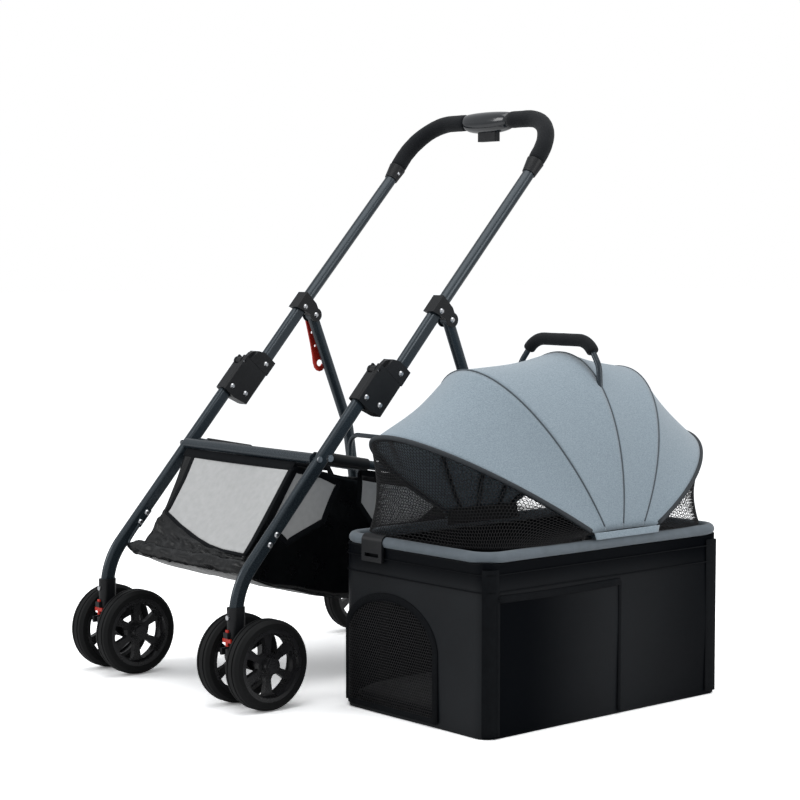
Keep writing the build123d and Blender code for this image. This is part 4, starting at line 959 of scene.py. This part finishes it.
basket_cloth = Finish("basket_polyester", Specular_IOR_Level=0.30)
crumple = basket_cloth.grain(26, 5, 0.6)
basket_cloth.set(Base_Color=crumple.blend_to((0.0012, 0.0015, 0.0020), (0.0035, 0.0040, 0.0050)),
                 Roughness=0.20 + crumple * 0.18, Normal=basket_cloth.bump(crumple, 0.55, 0.005))
# The net's light grey colour is painted light: it stands in for the pale backdrop showing through the net's
# holes.
fine_net_painted_light = Finish("fine_net_painted_light", Specular_IOR_Level=0.2, Roughness=0.8, Alpha=0.78)
fine_net_painted_light.set(Base_Color=fine_net_painted_light.grain(90, 3).blend_to((0.50, 0.505, 0.505), (0.66, 0.665, 0.665)))
front_top, front_low = Vector(side_line[0]), Vector(side_line[2])
panel_rise = front_top.y - front_low.y
net_begin, net_end, net_top = 0.03, 0.98, 0.955


def read_off(value, line):
    """Reads a value off a broken line of (place, value) corners."""
    for (a, low), (b, high) in zip(line, line[1:]):
        if value <= b:
            return low + (high - low) * max(0, (value - a) / (b - a))
    return line[-1][1]


def outer_edge(side, share):
    """Where the front panel ends on one side, at a share of the way up it."""
    if side > 0:
        return read_off(share, ((0, 0.164), (0.24, 0.162), (1, 0.146)))
    return read_off(share, ((0, -0.130), (0.06, -0.126), (0.4, -0.130), (0.7, -0.150), (1, -0.176)))


def front_panel(across, share):
    """Point of the front panel: across it from right to left, and up it from the roll to the crossbar."""
    y, z = front_low.lerp(front_top, share)
    hang = 0.010 * math.sin(math.pi * share) * math.sin(math.pi * across)
    right, left = outer_edge(-1, share), outer_edge(1, share)
    return at(right + (left - right) * across, y + hang * 0.75, z - hang * 0.6)


def net_low(across):
    """How far up the front panel its net begins."""
    return read_off(across, ((0, 0.38), (0.03, 0.35), (0.23, 0.25), (0.455, 0.16), (0.60, 0.115),
                                (0.75, 0.09), (1, 0.08)))


def net_side(share):
    """How far across the front panel its net begins."""
    return net_begin + 0.06 * max(0, (share - 0.35) / 0.65)


def net_panel(i, k):
    """Point of the front net, which ends at net_end across the panel and net_top up it."""
    below = net_low(net_begin + (net_end - net_begin) * i)
    share = below + (net_top - below) * k
    return front_panel(net_side(share) + (net_end - net_side(share)) * i, share)


def wall_x(side, y, share):
    """How far out a side wall stands: it follows the front panel's edge and squares up behind it."""
    blend = max(0, min(1, 1 - (y - front_top.x * share) / 0.12))
    return side * (basket_half - 0.001) * (1 - blend) + outer_edge(side, share) * blend


def basket_piece(piece, flat, area=None):
    """One cloth or net panel of the basket, put with the front frame; its size and area as cut (flat and
    area) are not used.
    """
    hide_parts("storage_basket")
    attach(piece, "front_frame")


def cut_area(outline):
    """Area of a flat cut, from its corners."""
    return abs(sum(a[0] * b[1] - b[0] * a[1] for a, b in zip(outline, outline[1:] + outline[:1]))) / 2


def panel_area(outline):
    """Area of a cut of the front panel, from corners given as places across and up it."""
    slope = (front_top - front_low).length
    return cut_area([(outer_edge(-1, up) + (outer_edge(1, up) - outer_edge(-1, up)) * across, slope * up)
                     for across, up in outline])


def low_line(parts):
    """The net's lower edge, as places across and up the front panel."""
    spots = [net_begin + (net_end - net_begin) * k / parts for k in range(parts + 1)]
    return [(across, net_low(across)) for across in spots]


far_edge = [(net_side(up), up) for up in (net_top, 0.80, 0.65, 0.50, 0.38)]
panel_face = Vector((0, -0.77, 0.63))
net_ply, cloth_ply = 0.0006, 0.0012


def cloth_panel(i, k):
    """Cloth under the front net, rumpled off the panel's plane."""
    rumple = noise.noise(Vector((i * 11 + k * 5, k * 4 - i * 3, 2)))
    return front_panel(i, net_low(i) * k) + panel_face * 0.009 * math.sin(math.pi * k) * rumple


def corner_panel(i, k):
    """Narrow cloth between the front net and the panel's right edge."""
    return front_panel(net_side(0.35 + 0.65 * k) * i, 0.35 + 0.65 * k)


basket_piece(grid_piece("basket_front_net", 40, 24, net_panel, net_ply, fine_net_painted_light), (0.30, 0.20),
             panel_area(low_line(20) + [(net_end, net_top)] + far_edge))
basket_piece(grid_piece("basket_front_cloth", 40, 14, cloth_panel, cloth_ply, basket_cloth), (0.30, 0.08),
             panel_area([(0, 0), (1, 0), (1, 0.08)] + low_line(20)[::-1] + [(0, 0.38)]))
basket_piece(grid_piece("basket_front_corner", 4, 20, corner_panel, cloth_ply, basket_cloth), (0.14, 0.03),
             panel_area([(0, 0.35), (0.03, 0.35), (0.09, 1), (0, 1)]))
tray_line = smooth_line(side_line[2:], 0.009)


def tray_point(i, k):
    """Point of the tray: across it from right to left, and along its sag from the front to the rear."""
    y, z = tray_line[min(len(tray_line) - 1, round(k * (len(tray_line) - 1)))]
    right, left = wall_x(-1, y, 0), wall_x(1, y, 0)
    x = right + (left - right) * i
    loose = math.sin(math.pi * i) * math.sin(math.pi * min(1, k * 1.05))
    sag = 0.004 * (1 - (2 * i - 1) ** 2) * math.sin(math.pi * min(1, k * 1.1))
    sag += 0.006 * math.sin(math.pi * min(1, k * 1.5))
    fold = (0.006 * noise.noise(Vector((x * 14 + y * 6, y * 9, 4))) +
            0.0022 * noise.noise(Vector((x * 42 - y * 20, y * 24, 9)))) * loose
    return at(x, y, z - sag + fold + 0.001)


basket_piece(grid_piece("basket_tray", 64, len(tray_line) - 1, tray_point, 0.0014, basket_cloth),
             (2 * basket_half, sum((b - a).length for a, b in zip(tray_line, tray_line[1:]))))
side_windows = (((0.127, 0.378), (0.064, 0.296), (0.086, 0.271), (0.104, 0.256), (0.182, 0.286),
                 (0.216, 0.349), (0.179, 0.366)),
                ((0.262, 0.365), (0.262, 0.310), (0.300, 0.262), (0.400, 0.262), (0.460, 0.300),
                 (0.440, 0.335)))


def wall_span(y):
    """Heights of a side wall's bottom line and of its hem under the rail."""
    below = read_off(y, side_line[2:17])
    behind = y - front_top.x
    if behind < 0:
        above = front_low.y + y / front_top.x * panel_rise
    else:
        above = 0.386 - 0.1895 * behind - 0.010 * math.sin(math.pi * behind / 0.391)
    return below, max(above, below + 0.002)


def wall_place(side, y, z, out=0.0):
    """Point of a side wall at (y, z), out by a little where tape lies on it."""
    below, above = wall_span(y)
    share = max(0, min(1, (z - below) / (above - below)))
    tuck = 0.004 * math.sin(math.pi * share) + 0.003 * noise.noise(Vector((y * 14, z * 14, side)))
    up = max(0, min(1, (z - front_low.y) / panel_rise))
    return at(wall_x(side, y, up) - side * (max(0, tuck) - out), y, z)


def within(corners, y, z):
    """Whether a place on a side wall lies in one of its windows."""
    inside = False
    for (y0, z0), (y1, z1) in zip(corners, corners[1:] + corners[:1]):
        if (z0 > z) != (z1 > z) and y < y0 + (z - z0) * (y1 - y0) / (z1 - z0):
            inside = not inside
    return inside


wall_columns, wall_rows = 130, 34
for side_name, side in both_sides:
    places, panels = [], ([], [], [])
    for k in range(wall_rows + 1):
        for i in range(wall_columns + 1):
            y = 0.001 + 0.517 * i / wall_columns
            below, above = wall_span(y)
            places.append(wall_place(side, y, below + (above - below) * k / wall_rows))
    for face in quads(wall_rows + 1, wall_columns + 1):
        centre = (places[face[0]] + places[face[2]]) / 2 - datum
        number = next((number for number, corners in enumerate(side_windows, 1)
                       if within(corners, centre.y, centre.z)), 0)
        panels[number].append(face)
    for number, faces in enumerate(panels):
        used = {old: new for new, old in enumerate(sorted({corner for face in faces for corner in face}))}
        name = f"basket_side_net_{side_name}_{number}" if number else f"basket_side_{side_name}"
        panel = mesh_piece(name, [places[old] for old in used],
                           [tuple(used[old] for old in face) for face in faces])
        modified(panel, "SOLIDIFY", thickness=net_ply if number else cloth_ply, offset=0)
        if number:
            basket_piece(finish_of(panel, fine_net_painted_light), (0.20, 0.125), cut_area(side_windows[number - 1]))
        else:
            hem = [(y, wall_span(y)[1]) for y in (0.518, 0.42, 0.32, 0.22, 0.129)]
            basket_piece(finish_of(panel, basket_cloth), (0.52, 0.24), cut_area(side_line[2:17] + hem) -
                         sum(cut_area(corners) for corners in side_windows))
    for number, corners in enumerate(side_windows, 1):
        edge = []
        for (y0, z0), (y1, z1) in zip(corners, corners[1:] + corners[:1]):
            count = max(2, round(math.hypot(y1 - y0, z1 - z0) / 0.008))
            edge += [wall_place(side, y0 + (y1 - y0) * k / count, z0 + (z1 - z0) * k / count, 0.0006)
                     for k in range(count)]
        strip(f"basket_side_tape_{side_name}_{number}", edge + edge[:2], side * outward, 0.011, 0.0012,
              "front_frame")

roll_route = [at(-0.176 + 0.366 * k / 70, 0.003, 0.226 - 0.002 * math.sin(math.pi * k / 70))
              for k in range(71)]


def roll_skin(share, turn, point):
    plump = 0.0125 * min(1, 0.35 + min(share, 1 - share) * 9)
    return plump * (1 + 0.22 * noise.noise(Vector((point.x * 38, turn * 0.9, 0))) +
                    0.14 * noise.noise(Vector((point.x * 110 + turn * 3, turn * 1.4, 3))))


roll = finish_of(hose("basket_roll", roll_route, roll_skin), basket_cloth)
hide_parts("storage_basket")
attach(roll, "front_frame")
for name, places, width, thick in (
        ("right", [(net_side(0.36 + 0.0375 * k), 0.36 + 0.0375 * k) for k in range(17)], 0.010, 0.0016),
        ("left", steps(Vector((0.985, 0.08)), Vector((0.985, 0.97)), 16), 0.010, 0.0016),
        ("low", low_line(40), 0.007, 0.0015),
        ("top", steps(Vector((0, 0.970)), Vector((1, 0.970)), 20), 0.018, 0.0018)):
    route = [front_panel(*place) for place in places]
    strip(f"basket_binding_{name}", route, panel_face, width, thick, "front_frame")
